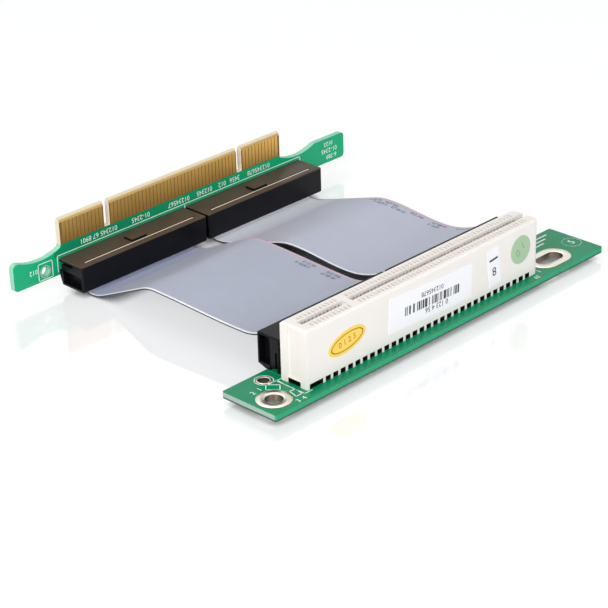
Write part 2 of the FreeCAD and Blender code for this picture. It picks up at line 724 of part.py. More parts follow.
# Ribbon cables
class Route:
    """Line and arc runs in the upright plane along Y, with both faces of a flat cable."""

    def __init__(self, back, up, heading):
        self.place = Vector(0, back, up)
        self.heading = heading
        self.half = dims.ribbon_thickness.value / 2
        self.faces = ([], [])

    def along(self, angle):
        return Vector(0, math.cos(angle), math.sin(angle))

    def aside(self, angle):
        return Vector(0, -math.sin(angle), math.cos(angle))

    def straight(self, length):
        far = self.place + self.along(self.heading) * length
        for edges, hand in zip(self.faces, (1, -1)):
            offset = self.aside(self.heading) * self.half * hand
            edges.append(Part.LineSegment(self.place + offset, far + offset).toShape())
        self.place = far

    def turn(self, radius, angle):
        """Turn left by a positive angle or right by a negative one."""
        hand = math.copysign(1, angle)
        centre = self.place + self.aside(self.heading) * radius * hand
        for edges, face in zip(self.faces, (1, -1)):
            reach = radius - hand * face * self.half
            points = []
            for share in (0, 0.5, 1):
                points.append(centre - self.aside(self.heading + share * angle) * reach * hand)
            edges.append(Part.Arc(*points).toShape())
        self.heading += angle
        self.place = centre - self.aside(self.heading) * radius * hand

    def ease(self, back, up, sweep, first=None):
        """Level run to level run at another height: an arc, a slope and the arc back.

        The arcs are alike, unless the first one's radius is given.
        """
        run, rise = back - self.place.y, up - self.place.z
        height = abs(rise)
        roundest = (run ** 2 + height ** 2) / (2 * height)
        both = sweep.value * roundest
        radius = first.value if first else both / 2
        slope = math.sqrt(run ** 2 + (height - both) ** 2 - both ** 2)
        angle = math.atan2(height - both, run) + math.atan2(both, slope)
        angle = math.copysign(angle, rise)
        self.turn(radius, angle)
        self.straight(slope)
        self.turn(both - radius, -angle)

    def solid(self, left, width):
        """Close the two faces and extrude them across the cable."""
        upper, lower = self.faces
        starts = [edges[0].Vertexes[0].Point for edges in self.faces]
        stops = [edges[-1].Vertexes[-1].Point for edges in self.faces]
        caps = [Part.makeLine(starts[0], starts[1]), Part.makeLine(stops[0], stops[1])]
        outline = Part.Wire(Part.__sortEdges__([*upper, *lower, *caps]))
        face = Part.Face(outline)
        face.translate(Vector(left, 0, 0))
        return face.extrude(Vector(width, 0, 0))


def make_ribbon(side, dip_reach, dip_level, crest_reach, crest_level):
    """From the cut end beside the slot, over its dip and crest, to the edge board's bend."""
    inset = dims.ribbon_inset.value
    cut_end = riser_connector_back.value - dims.connector_width.value / 2 + inset
    lead_end = riser_connector_back.value + dims.connector_width.value / 2 + dims.lead_out.value
    host_back = host_face.value - cable_level.value
    bend_start = host_back - dims.bend_radius.value
    floor_level = dims.ribbon_thickness.value / 2
    route = Route(cut_end, riser_top.value + cable_level.value, 0)
    route.straight(lead_end - cut_end)
    route.ease(lead_end + dip_reach.value, dip_level.value, dims.wave_sweep, dims.exit_bend)
    route.ease(bend_start - crest_reach.value, crest_level.value, dims.wave_sweep)
    route.ease(bend_start, floor_level, dims.drop_sweep)
    route.turn(dims.bend_radius.value, math.pi / 2)
    route.straight(dims.bend_drop.value + dims.connector_width.value - inset)
    name = f"ribbon_{side}"
    ribbon = DOC.addObject("Part::Feature", name)
    ribbon.Label = name
    ribbon.Shape = route.solid(SIDES[side].value - ribbon_width.value / 2, ribbon_width.value)
    return ribbon


def make_ribbons():
    make_ribbon(
        "left", dims.left_dip_reach, dims.left_dip_level,
        dims.left_crest_reach, dims.left_crest_level,
    )
    make_ribbon(
        "right", dims.right_dip_reach, dims.right_dip_level,
        dims.right_crest_reach, dims.right_crest_level,
    )


# Edge board
def at_end(edge, place):
    return is_upright(edge) and near(edge.BoundBox.XMax, place)


def at_root(edge, place):
    return at_end(edge, place) and near(edge.BoundBox.YMax, dims.ear_height)


def make_host_board():
    """Strip with a finger tongue; the front face is at zero and the board lies behind it."""
    body = new_body("host_board", HOST_FRAME)
    half_tongue = tongue_width / 2
    left_end, right_end = -half_tongue - dims.ear_left, half_tongue + dims.ear_right
    strip = new_sketch(body)
    polygon(strip, (
        (left_end, zero), (right_end, zero), (right_end, dims.ear_height),
        (half_tongue, dims.ear_height), (half_tongue, dims.host_height),
        (-half_tongue, dims.host_height), (-half_tongue, dims.ear_height), (left_end, dims.ear_height),
    ))
    add_feature(body, "Pad", strip, dims.board_thickness, reverse=True)
    dress_edges(
        body, "Fillet", "Radius", dims.ear_corner,
        lambda edge: at_end(edge, left_end) or at_end(edge, right_end),
    )
    reliefs = new_sketch(body)
    relief_end = half_tongue + dims.relief_length
    scoop(reliefs, half_tongue, relief_end, dims.ear_height, dims.relief_depth)
    scoop(reliefs, -relief_end, -half_tongue, dims.ear_height, dims.relief_depth)
    add_feature(body, "Pocket", reliefs)
    dress_edges(
        body, "Fillet", "Radius", dims.tongue_fillet,
        lambda edge: at_root(edge, half_tongue) or at_root(edge, -half_tongue),
    )
    notches = new_sketch(body)
    notch_low = dims.host_height - dims.notch_depth
    for middle in (key_place, -key_place):
        left, right = middle - dims.notch_width / 2, middle + dims.notch_width / 2
        rectangle(notches, left, right, notch_low, dims.host_height)
    add_feature(body, "Pocket", notches)
    bevels = new_sketch(body, "YZ_Plane")
    bevel_low = dims.host_height - dims.bevel_length
    for face, depth in ((zero, -dims.bevel_depth), (-dims.board_thickness, dims.bevel_depth)):
        corners = ((bevel_low, face), (dims.host_height, face), (dims.host_height, face + depth))
        polygon(bevels, corners)
    add_feature(body, "Pocket", bevels, symmetric=True)
    tooling = new_sketch(body)
    circle(tooling, tooling_place - slot_middle, dims.host_tooling_rise, dims.tooling_hole / 2)
    add_feature(body, "Pocket", tooling)
    return body


def finger_places():
    """Contact positions that no key notch takes, with a key at each end of the row."""
    bank, key, total = (int(s.value) for s in (dims.left_contacts, dims.key_positions, positions))
    keyed = {*range(bank, bank + key), *range(total - bank - key, total - bank)}
    for index in range(total):
        if index not in keyed:
            yield first_contact.value + index * dims.contact_pitch.value


def make_fingers():
    width, length = dims.finger_width.value, dims.finger_length.value
    thickness = dims.finger_thickness.value
    low = dims.host_height.value - dims.bevel_length.value - length
    levels = {
        "host_fingers_front": 0,
        "host_fingers_back": -dims.board_thickness.value - thickness,
    }
    for name, level in levels.items():
        solids = []
        for across in finger_places():
            corner = Vector(across - width / 2, low, level)
            solids.append(Part.makeBox(width, length, thickness, corner))
        group(name, HOST_FRAME, solids)


# Stickers on the slot's front face
def sticker_frame(place, rise, tilt=0):
    across = slot_middle - slot_length / 2 + place
    turn = FreeCAD.Rotation(Vector(0, -1, 0), tilt).multiply(STAND_UP)
    return Frame(across, front_edge + dims.slot_setback, riser_top + rise, turn)


def make_label(name, length, width, place, tilt):
    body = new_body(name, sticker_frame(place, dims.sticker_rise, tilt.value))
    outline = new_sketch(body)
    rectangle(outline, -length / 2, length / 2, -width / 2, width / 2)
    add_feature(body, "Pad", outline, dims.sticker_thickness)
    return body


def make_oval_sticker():
    outline = DOC.addObject("Part::Ellipse", "oval_outline")
    bind(outline, "MajorRadius", dims.oval_length / 2)
    bind(outline, "MinorRadius", dims.oval_width / 2)
    sticker_frame(dims.oval_place, dims.sticker_rise, dims.oval_tilt.value).hold(outline)
    sticker = DOC.addObject("Part::Extrusion", "oval_sticker")
    sticker.Label = "oval_sticker"
    sticker.Base = outline
    sticker.DirMode = "Custom"
    sticker.Dir = Vector(0, -1, 0)
    bind(sticker, "LengthFwd", dims.sticker_thickness)
    sticker.Solid = True
    return sticker


def make_round_sticker():
    sticker = DOC.addObject("Part::Cylinder", "round_sticker")
    sticker.Label = "round_sticker"
    bind(sticker, "Radius", dims.round_diameter / 2)
    bind(sticker, "Height", dims.sticker_thickness)
    sticker_frame(dims.round_place, dims.round_rise).hold(sticker)
    return sticker


def make_stickers():
    make_label("wide_label", dims.label_length, dims.label_width, dims.label_place, dims.label_tilt)
    make_label("narrow_label", dims.tag_length, dims.tag_width, dims.tag_place, dims.tag_tilt)
    make_oval_sticker()
    make_round_sticker()


NODE_KINDS = (
    "PartDesign::Body", "Part::Feature", "Part::Compound", "Part::Extrusion", "Part::Cylinder",
)


def nodes():
    """The pieces of the card: the shapes that no other object is made from."""
    return [item for item in DOC.Objects if item.TypeId in NODE_KINDS and not item.InList]


def write_parts():
    DOC.recompute()
    for item in DOC.Objects:
        if "Invalid" in item.State or "Error" in item.State:
            raise RuntimeError(f"{item.Label} failed: {item.State}")
    for item in nodes():
        if item.Shape.isNull() or not item.Shape.isValid() or not item.Shape.Solids:
            raise RuntimeError(f"{item.Label} has no valid solid")
    os.makedirs("parts", exist_ok=True)
    for item in nodes():
        item.Shape.exportStep(f"parts/{item.Label}.step")


make_riser_board()
make_plated_holes()
make_slot_housing()
make_slot_contacts()
make_slot_joints()
make_connectors()
make_ribbons()
make_host_board()
make_fingers()
make_stickers()
write_parts()
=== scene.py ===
import math

import bmesh
import bpy
from mathutils import Matrix, Vector


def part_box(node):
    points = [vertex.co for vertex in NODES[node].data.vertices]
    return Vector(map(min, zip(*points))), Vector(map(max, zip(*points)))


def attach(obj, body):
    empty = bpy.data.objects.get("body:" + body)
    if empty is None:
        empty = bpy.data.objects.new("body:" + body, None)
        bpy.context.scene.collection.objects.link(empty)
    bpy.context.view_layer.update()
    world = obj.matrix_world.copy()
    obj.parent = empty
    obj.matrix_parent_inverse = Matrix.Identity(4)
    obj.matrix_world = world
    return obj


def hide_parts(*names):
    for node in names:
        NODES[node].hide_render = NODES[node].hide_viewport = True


# Looks of a PCI riser card: solder resist, moulded plastics, ribbed cable, gold, solder and paper.
# Named lengths are millimetres, and Blender's are metres.
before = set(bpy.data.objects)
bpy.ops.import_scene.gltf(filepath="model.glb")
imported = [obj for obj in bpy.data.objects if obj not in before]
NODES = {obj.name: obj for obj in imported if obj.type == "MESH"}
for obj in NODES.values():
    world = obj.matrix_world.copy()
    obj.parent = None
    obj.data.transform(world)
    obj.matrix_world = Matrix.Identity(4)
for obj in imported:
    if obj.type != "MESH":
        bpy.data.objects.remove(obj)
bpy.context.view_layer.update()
MM = 0.001
BODY = "root"

# The photograph's camera, worked out from the corners of the slot and the two boards
VIEW_AZIMUTH = -45.19
VIEW_ELEVATION = 26.14
VIEW_ROLL = -1.59
VIEW_TARGET = (-10.55, -8.17, 0.0)
VIEW_DISTANCE = 530.8
VIEW_LENS = 123.7
SENSOR_WIDTH = 36.0

# Sizes of the card that the boxes of its nodes don't give
CONTACT_PITCH = 1.27
BEVEL_LENGTH = 1.1
FINGER_LENGTH = 5.9
FOOT_HEIGHT = 1.4
SLOT_CORNER = 1.4
RIBBON_WAYS = 60
RIBBON_PITCH = 0.635
RIBBON_THICKNESS = 0.7
BEND_RADIUS = 1.2
LEAD_OUT = 0.2
EXIT_BEND = 1.4
WAVE_SWEEP = 0.9
DROP_SWEEP = 0.6
CUT_INSET = 0.15
RIBBON_WAVES = {
    "left": {"dip": (7.5, 8.65), "crest": (25.0, 9.6)},
    "right": {"dip": (15.0, 6.2), "crest": (29.5, 7.6)},
}
RIBBON_TWIST = {"left": 0.42, "right": 0.25}
LABEL_TILT = {"oval_sticker": 9.0, "wide_label": -2.2, "narrow_label": 7.0, "round_sticker": 0.0}


def box_mm(node):
    """Lowest and highest corner of a CAD node, in millimetres."""
    low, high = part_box(node)
    return low / MM, high / MM


RISER_LOW, RISER_HIGH = box_mm("riser_board")
HOST_LOW, HOST_HIGH = box_mm("host_board")
SLOT_LOW, SLOT_HIGH = box_mm("slot_housing")
SLOT_MIDDLE = (SLOT_LOW + SLOT_HIGH) / 2
FINGER_TOP = HOST_HIGH.z - BEVEL_LENGTH
FINGER_LOW = FINGER_TOP - FINGER_LENGTH
SMALL_HOLE_X = box_mm("riser_base_left")[0].x - 4.57
MOUNT_ROW = RISER_LOW.y + 5.97
MOUNT_HOLE = (RISER_LOW.x + 5.4, MOUNT_ROW)
SLOTTED_HOLE = (RISER_HIGH.x - 15.1, MOUNT_ROW)
TOOLING_HOLE = (SMALL_HOLE_X, RISER_HIGH.y - 3.5)
HOST_HOLE = (SMALL_HOLE_X, HOST_LOW.z + 2.5)
# Plated pads: centre, half travel of the slotted one, hole radius and rim radius
PAD_RINGS = (
    (MOUNT_HOLE, 0.0, 2.25, 4.35), (TOOLING_HOLE, 0.0, 1.3, 1.95), (SLOTTED_HOLE, 2.25, 2.25, 4.35),
)


# Node helpers
def tone(text):
    """Linear colour of an sRGB hex value."""
    shares = [int(text[i:i + 2], 16) / 255 for i in (0, 2, 4)]
    linear = [c / 12.92 if c <= 0.04045 else ((c + 0.055) / 1.055) ** 2.4 for c in shares]
    return (*linear, 1.0)


def add(tree, kind, inputs=None, **settings):
    """Add a node with its settings; inputs take values, sockets, or nodes for their first output."""
    node = tree.nodes.new(kind)
    for name, value in settings.items():
        setattr(node, name, value)
    for socket, value in (inputs or {}).items():
        if isinstance(value, bpy.types.Node):
            value = next(output for output in value.outputs if output.enabled)
        if isinstance(value, bpy.types.NodeSocket):
            tree.links.new(value, node.inputs[socket])
        else:
            node.inputs[socket].default_value = value
    return node


def new_finish(name):
    """A material with an empty tree, and the point on the piece in millimetres."""
    material = bpy.data.materials.new(name)
    material.use_nodes = True
    tree = material.node_tree
    tree.nodes.clear()
    place = add(tree, "ShaderNodeTexCoord")
    point = add(tree, "ShaderNodeVectorMath", {
        0: place.outputs["Object"], "Scale": 1 / MM,
    }, operation="SCALE")
    axes = add(tree, "ShaderNodeSeparateXYZ", {0: point})
    return material, tree, point, axes.outputs


# Stage: camera, floor, room and lamps
def make_camera():
    data = bpy.data.cameras.new("photo_camera")
    data.lens = VIEW_LENS
    data.sensor_width = SENSOR_WIDTH
    data.clip_start = 0.01
    camera = bpy.data.objects.new("photo_camera", data)
    bpy.context.scene.collection.objects.link(camera)
    turn = Matrix.Rotation(math.radians(VIEW_AZIMUTH), 4, "Z")
    turn = turn @ Matrix.Rotation(math.radians(90 - VIEW_ELEVATION), 4, "X")
    turn = turn @ Matrix.Rotation(math.radians(VIEW_ROLL), 4, "Z")
    target = Matrix.Translation(Vector(VIEW_TARGET) * MM)
    camera.matrix_world = target @ turn @ Matrix.Translation((0, 0, VIEW_DISTANCE * MM))
    bpy.context.scene.camera = camera


def seen_rays(tree):
    """1 for what the camera sees, straight or in a mirror or glass, and 0 for light on the card."""
    path = add(tree, "ShaderNodeLightPath")
    seen = add(tree, "ShaderNodeMath", {
        0: path.outputs["Is Camera Ray"], 1: path.outputs["Is Glossy Ray"],
    }, operation="MAXIMUM")
    return add(tree, "ShaderNodeMath", {
        0: seen, 1: path.outputs["Is Transmission Ray"],
    }, operation="MAXIMUM")


# Deepest shade on the floor: an oval below the cables, and a rim close to whatever stands on it
SHADE_MIDDLE = (10.0, 6.0, 0.0)
SHADE_REACH = (38.0, 34.0, 100.0)
SHADE_RIM = 4.0
FLOOR_LIFT = 0.73
FLOOR_MIRROR = 0.18


def make_floor():
    """Polished white studio floor: shadows stay, deepest below the card, which is mirrored faintly."""
    mesh = bpy.data.meshes.new("floor")
    half, level = 6.0, -0.02 * MM  # metres: the floor lies a hair below the card
    corners = [(-half, -half, level), (half, -half, level), (half, half, level), (-half, half, level)]
    mesh.from_pydata(corners, [], [(0, 1, 2, 3)])
    floor = bpy.data.objects.new("floor", mesh)
    bpy.context.scene.collection.objects.link(floor)
    material, tree, point, _ = new_finish("white_studio_acrylic")
    white = add(tree, "ShaderNodeBsdfDiffuse", {"Color": tone("E6E8EA")})
    near = add(tree, "ShaderNodeAmbientOcclusion", {"Distance": SHADE_RIM * MM}, samples=8)
    clear = add(tree, "ShaderNodeMapRange", {"Value": near.outputs["AO"], "From Min": 0.1, "From Max": 0.6})
    apart = add(tree, "ShaderNodeVectorMath", {0: point, 1: SHADE_MIDDLE}, operation="SUBTRACT")
    apart = add(tree, "ShaderNodeVectorMath", {0: apart, 1: SHADE_REACH}, operation="DIVIDE")
    apart = add(tree, "ShaderNodeVectorMath", {0: apart}, operation="LENGTH")
    outside = add(tree, "ShaderNodeMapRange", {
        "Value": apart.outputs["Value"], "From Min": 0.75, "From Max": 1.05, "To Max": FLOOR_LIFT,
    })
    open_share = add(tree, "ShaderNodeMath", {0: clear, 1: outside}, operation="MULTIPLY")
    lift = add(tree, "ShaderNodeEmission", {"Color": (1, 1, 1, 1), "Strength": open_share})
    shade = add(tree, "ShaderNodeBsdfDiffuse", {"Color": tone("96989A")})
    seen = add(tree, "ShaderNodeAddShader", {0: shade, 1: lift})
    mirror = add(tree, "ShaderNodeBsdfAnisotropic", {"Color": (1, 1, 1, 1), "Roughness": 0.09})
    polished = add(tree, "ShaderNodeMixShader", {0: FLOOR_MIRROR, 1: seen, 2: mirror})
    whole = add(tree, "ShaderNodeMixShader", {0: seen_rays(tree), 1: white, 2: polished})
    add(tree, "ShaderNodeOutputMaterial", {"Surface": whole})
    mesh.materials.append(material)


def make_room():
    """Pale room: a soft even light from all sides, white where metal and gloss mirror it."""
    world = bpy.data.worlds.new("pale_room")
    bpy.context.scene.world = world
    world.use_nodes = True
    tree = world.node_tree
    tree.nodes.clear()
    light = add(tree, "ShaderNodeBackground", {"Color": tone("F4F6FA"), "Strength": 0.4})
    white = add(tree, "ShaderNodeBackground", {"Color": tone("FFFFFF"), "Strength": 1.0})
    room = add(tree, "ShaderNodeMixShader", {0: seen_rays(tree), 1: light, 2: white})
    add(tree, "ShaderNodeOutputWorld", {"Surface": room})


def make_lamp(name, place, aim, size, power, colour):
    data = bpy.data.lights.new(name, "AREA")
    data.shape = "RECTANGLE"
    data.size, data.size_y = size
    data.energy = power
    data.color = tone(colour)[:3]
    lamp = bpy.data.objects.new(name, data)
    bpy.context.scene.collection.objects.link(lamp)
    away = Vector(place) - Vector(aim)
    lamp.matrix_world = Matrix.Translation(place) @ away.to_track_quat("Z", "Y").to_matrix().to_4x4()


def make_lamps():
    """Soft boxes: the key from the left, a fill in front and a broad one overhead."""
    make_lamp("key_softbox", (-0.75, -0.30, 0.45), (0, -0.01, 0.01), (0.55, 0.45), 5.3, "FFFDFA")
    make_lamp("front_softbox", (-0.10, -0.80, 0.40), (0, 0, 0.01), (0.7, 0.4), 3.0, "F6F8FF")
    make_lamp("top_softbox", (0.05, 0.42, 0.95), (0, 0, 0), (0.9, 0.9), 3.2, "FFF8F0")


# Finishes
def lane_mask(tree, across, share):
    """Stripes along the contact positions, each as wide as a share of the pitch."""
    lanes = add(tree, "ShaderNodeMath", {0: across, 1: -SLOT_MIDDLE.x}, operation="ADD")
    lanes = add(tree, "ShaderNodeMath", {0: lanes, 1: CONTACT_PITCH}, operation="DIVIDE")
    lanes = add(tree, "ShaderNodeMath", {0: lanes}, operation="FRACT")
    return add(tree, "ShaderNodeMath", {0: lanes, 1: 0.5, 2: share / 2}, operation="COMPARE")


def edge_mask(tree, axis):
    """1 on the cut edges of a board whose faces look along an axis."""
    surface = add(tree, "ShaderNodeNewGeometry")
    normal = add(tree, "ShaderNodeSeparateXYZ", {0: surface.outputs["Normal"]})
    facing = add(tree, "ShaderNodeMath", {0: normal.outputs[axis]}, operation="ABSOLUTE")
    return add(tree, "ShaderNodeMath", {0: facing, 1: 0.5}, operation="LESS_THAN")


def finish_board(tree, point, colour, cut):
    """Gloss of a resist-coated board: wet and slightly uneven faces, dull where it is sawn."""
    peel = add(tree, "ShaderNodeTexNoise", {"Vector": point, "Scale": 1 / 1.4, "Detail": 2.0})
    bump = add(tree, "ShaderNodeBump", {"Height": peel, "Strength": 0.12, "Distance": 0.02 * MM})
    dull = add(tree, "ShaderNodeMapRange", {"Value": cut, "To Min": 0.22, "To Max": 0.62})
    coated = add(tree, "ShaderNodeBsdfPrincipled", {
        "Base Color": colour, "Roughness": dull, "IOR": 1.5, "Specular IOR Level": 0.18, "Normal": bump,
    })
    add(tree, "ShaderNodeOutputMaterial", {"Surface": coated})


def riser_resist():
    """Green solder resist: wet gloss, faint traces, painted shade under the slot, pale edges with painted
    shade along their foot.
    """
    trace_width, trace_strength = 0.32, 0.5
    inset, foot_top, foot_full = 0.3, 0.55, 0.25
    material, tree, point, axes = new_finish("green_solder_resist")
    cloud = add(tree, "ShaderNodeTexNoise", {"Vector": point, "Scale": 1 / 9.0, "Detail": 2.0})
    green = add(tree, "ShaderNodeMix", {0: cloud, 6: tone("0A8258"), 7: tone("119163")}, data_type="RGBA")
    middle, reach = (SLOT_HIGH.y + RISER_HIGH.y) / 2, (RISER_HIGH.y - SLOT_HIGH.y) / 2
    behind = add(tree, "ShaderNodeMath", {0: axes["Y"], 1: middle, 2: reach}, operation="COMPARE")
    along = add(tree, "ShaderNodeMath", {
        0: axes["X"], 1: SLOT_MIDDLE.x, 2: (SLOT_HIGH.x - SLOT_LOW.x) / 2 - inset,
    }, operation="COMPARE")
    behind = add(tree, "ShaderNodeMath", {0: behind, 1: along}, operation="MULTIPLY")
    lanes = lane_mask(tree, axes["X"], trace_width)
    traces = add(tree, "ShaderNodeMath", {0: lanes, 1: behind}, operation="MULTIPLY")
    traces = add(tree, "ShaderNodeMath", {0: traces, 1: trace_strength}, operation="MULTIPLY")
    face = add(tree, "ShaderNodeMix", {0: traces, 6: green, 7: tone("3DB586")}, data_type="RGBA")
    # Painted shade: the resist under the slot housing turns near black.
    slot_shade = add(tree, "ShaderNodeMath", {
        0: axes["Y"], 1: SLOT_MIDDLE.y, 2: (SLOT_HIGH.y - SLOT_LOW.y) / 2 - inset,
    }, operation="COMPARE")
    slot_shade = add(tree, "ShaderNodeMath", {0: along, 1: slot_shade}, operation="MULTIPLY")
    upper = add(tree, "ShaderNodeMath", {
        0: axes["Z"], 1: (RISER_LOW.z + RISER_HIGH.z) / 2,
    }, operation="GREATER_THAN")
    slot_shade = add(tree, "ShaderNodeMath", {0: slot_shade, 1: upper}, operation="MULTIPLY")
    face = add(tree, "ShaderNodeMix", {0: slot_shade, 6: face, 7: tone("062018")}, data_type="RGBA")
    weave = add(tree, "ShaderNodeTexNoise", {"Vector": point, "Scale": 1 / 0.5, "Detail": 1.0})
    sawn = add(tree, "ShaderNodeMix", {0: weave, 6: tone("1C9766"), 7: tone("3AAA7D")}, data_type="RGBA")
    sheared = edge_mask(tree, "Y")
    sawn = add(tree, "ShaderNodeMix", {0: sheared, 6: sawn, 7: tone("9DB8AB")}, data_type="RGBA")
    # Painted shade: the lowest part of the sawn edges turns a dark grey-green.
    low = add(tree, "ShaderNodeMapRange", {
        "Value": axes["Z"], "From Min": RISER_LOW.z + foot_top, "From Max": RISER_LOW.z + foot_full,
    })
    sawn = add(tree, "ShaderNodeMix", {0: low, 6: sawn, 7: tone("46544E")}, data_type="RGBA")
    cut = edge_mask(tree, "Z")
    colour = add(tree, "ShaderNodeMix", {0: cut, 6: face, 7: sawn}, data_type="RGBA")
    finish_board(tree, point, colour, cut)
    return material


def host_resist():
    """Edge board: green resist with painted shade below the fingers, tan laminate round them, cream tip and
    edges.
    """
    material, tree, point, axes = new_finish("edge_board_resist")
    cloud = add(tree, "ShaderNodeTexNoise", {"Vector": point, "Scale": 1 / 9.0, "Detail": 2.0})
    green = add(tree, "ShaderNodeMix", {0: cloud, 6: tone("0DA46F"), 7: tone("15B27B")}, data_type="RGBA")
    strip_low, strip_right, strip_left, strip_shade_depth = HOST_LOW.z + 5.0, 35.0, -20.0, 0.5
    below = add(tree, "ShaderNodeMath", {
        0: axes["Z"], 1: (strip_low + FINGER_LOW) / 2, 2: (FINGER_LOW - strip_low) / 2,
    }, operation="COMPARE")
    # Painted shade: the strip below the fingers turns a darker green, most at the left.
    strip_shade = add(tree, "ShaderNodeMapRange", {
        "Value": axes["X"], "From Min": strip_right, "From Max": strip_left, "To Max": strip_shade_depth,
    })
    ear = add(tree, "ShaderNodeMath", {0: axes["X"], 1: SLOT_LOW.x}, operation="LESS_THAN")
    below = add(tree, "ShaderNodeMath", {0: below, 1: ear}, operation="GREATER_THAN")
    strip_shade = add(tree, "ShaderNodeMath", {0: strip_shade, 1: below}, operation="MULTIPLY")
    face = add(tree, "ShaderNodeMix", {0: strip_shade, 6: green, 7: tone("07643F")}, data_type="RGBA")
    bare = add(tree, "ShaderNodeMath", {0: axes["Z"], 1: FINGER_LOW - 0.2}, operation="GREATER_THAN")
    face = add(tree, "ShaderNodeMix", {0: bare, 6: face, 7: tone("7E6233")}, data_type="RGBA")
    bevel = add(tree, "ShaderNodeMath", {0: axes["Z"], 1: FINGER_TOP}, operation="GREATER_THAN")
    face = add(tree, "ShaderNodeMix", {0: bevel, 6: face, 7: tone("C2A162")}, data_type="RGBA")
    tip = add(tree, "ShaderNodeMapRange", {
        "Value": axes["Z"], "From Min": FINGER_TOP + 0.4, "From Max": HOST_HIGH.z - 0.2,
    })
    face = add(tree, "ShaderNodeMix", {0: tip, 6: face, 7: tone("E8DABA")}, data_type="RGBA")
    weave = add(tree, "ShaderNodeTexNoise", {"Vector": point, "Scale": 1 / 0.5, "Detail": 1.0})
    sawn = add(tree, "ShaderNodeMix", {0: weave, 6: tone("7CC9A8"), 7: tone("AEE0CA")}, data_type="RGBA")
    sawn = add(tree, "ShaderNodeMix", {0: bare, 6: sawn, 7: tone("E8DCC4")}, data_type="RGBA")
    cut = edge_mask(tree, "Y")
    colour = add(tree, "ShaderNodeMix", {0: cut, 6: face, 7: sawn}, data_type="RGBA")
    dull = add(tree, "ShaderNodeMath", {0: cut, 1: tip}, operation="MAXIMUM")
    finish_board(tree, point, colour, dull)
    return material


# Vinyl greys of each cable: two for the run, the left cable's a painted shade darker than the right's, and
# one paler, a painted pool of light, for the foot of its fall.
# The painted light is measured from the edge board's connectors, the edges in cable ways.
VINYL_GREYS = {"left": ("A6ACBE", "989FB1", "B8C2DC"), "right": ("B1B6C7", "A5ABBC", "F0F3FB")}
FOOT_LIGHT_START, FOOT_LIGHT_END = 12.0, 2.0
# Width of the painted highlight and shade on the cable's left edge, in cable ways.
EDGE_LIGHT_WAYS = 0.8
MARK_START, MARK_END, MARK_OUTER = 2.2, 0.8, 0.25


def cable_vinyl(side):
    """Extruded grey vinyl: ridges, painted shade in the webs, painted highlight and shade on the left edge,
    faded red edge way, painted pool of light on the foot of the fall.
    """
    material, tree, point, axes = new_finish(f"grey_ribbon_vinyl_{side}")
    left = box_mm(f"ribbon_{side}")[0].x
    ways = add(tree, "ShaderNodeMath", {0: axes["X"], 1: -left}, operation="ADD")
    ways = add(tree, "ShaderNodeMath", {0: ways, 1: RIBBON_PITCH}, operation="DIVIDE")
    lane = add(tree, "ShaderNodeMath", {0: ways}, operation="FRACT")
    offset = add(tree, "ShaderNodeMath", {0: lane, 1: -0.5}, operation="ADD")
    offset = add(tree, "ShaderNodeMath", {0: offset}, operation="ABSOLUTE")
    web = add(tree, "ShaderNodeMapRange", {
        "Value": offset, "From Min": 0.3, "From Max": 0.5, "To Max": 0.2,
    })
    cloud = add(tree, "ShaderNodeTexNoise", {"Vector": point, "Scale": 1 / 14.0, "Detail": 2.0})
    pale, deep, lit_foot = VINYL_GREYS[side]
    colour = add(tree, "ShaderNodeMix", {0: cloud, 6: tone(deep), 7: tone(pale)}, data_type="RGBA")
    foot = box_mm(f"host_base_{side}")[0].y
    # Painted pool of light: the grey turns paler towards the foot of the fall.
    foot_light = add(tree, "ShaderNodeMapRange", {
        "Value": axes["Y"], "From Min": foot - FOOT_LIGHT_START, "From Max": foot - FOOT_LIGHT_END,
    })
    colour = add(tree, "ShaderNodeMix", {0: foot_light, 6: colour, 7: tone(lit_foot)}, data_type="RGBA")
    # Painted shade: the webs between the ridges turn a darker grey.
    colour = add(tree, "ShaderNodeMix", {0: web, 6: colour, 7: tone("8A91A6")}, data_type="RGBA")
    # Painted highlight and shade on the cable's left edge: near white where it faces up, near black where
    # it faces down.
    surface = add(tree, "ShaderNodeNewGeometry")
    normal = add(tree, "ShaderNodeSeparateXYZ", {0: surface.outputs["Normal"]})
    upper = add(tree, "ShaderNodeMapRange", {
        "Value": normal.outputs["Z"], "From Min": 0.3, "From Max": 0.5,
    })
    edge_light_and_shade = add(tree, "ShaderNodeMix", {0: upper, 6: tone("2A2D33"), 7: tone("E6E9F0")}, data_type="RGBA")
    lit_edge = add(tree, "ShaderNodeMath", {0: ways, 1: EDGE_LIGHT_WAYS}, operation="LESS_THAN")
    colour = add(tree, "ShaderNodeMix", {0: lit_edge, 6: colour, 7: edge_light_and_shade}, data_type="RGBA")
    marked = add(tree, "ShaderNodeMapRange", {
        "Value": ways, "From Min": RIBBON_WAYS - MARK_START, "From Max": RIBBON_WAYS - MARK_END,
    })
    colour = add(tree, "ShaderNodeMix", {0: marked, 6: colour, 7: tone("BFA3B0")}, data_type="RGBA")
    rim_start = RIBBON_WAYS - MARK_OUTER
    outer = add(tree, "ShaderNodeMath", {0: ways, 1: rim_start}, operation="GREATER_THAN")
    colour = add(tree, "ShaderNodeMix", {0: outer, 6: colour, 7: tone("7A4E5A")}, data_type="RGBA")
    vinyl = add(tree, "ShaderNodeBsdfPrincipled", {
        "Base Color": colour, "Roughness": 0.42, "IOR": 1.53, "Sheen Weight": 0.04,
        "Subsurface Weight": 0.05, "Subsurface Radius": (0.5, 0.5, 0.55), "Subsurface Scale": MM,
    })
    add(tree, "ShaderNodeOutputMaterial", {"Surface": vinyl})
    return material


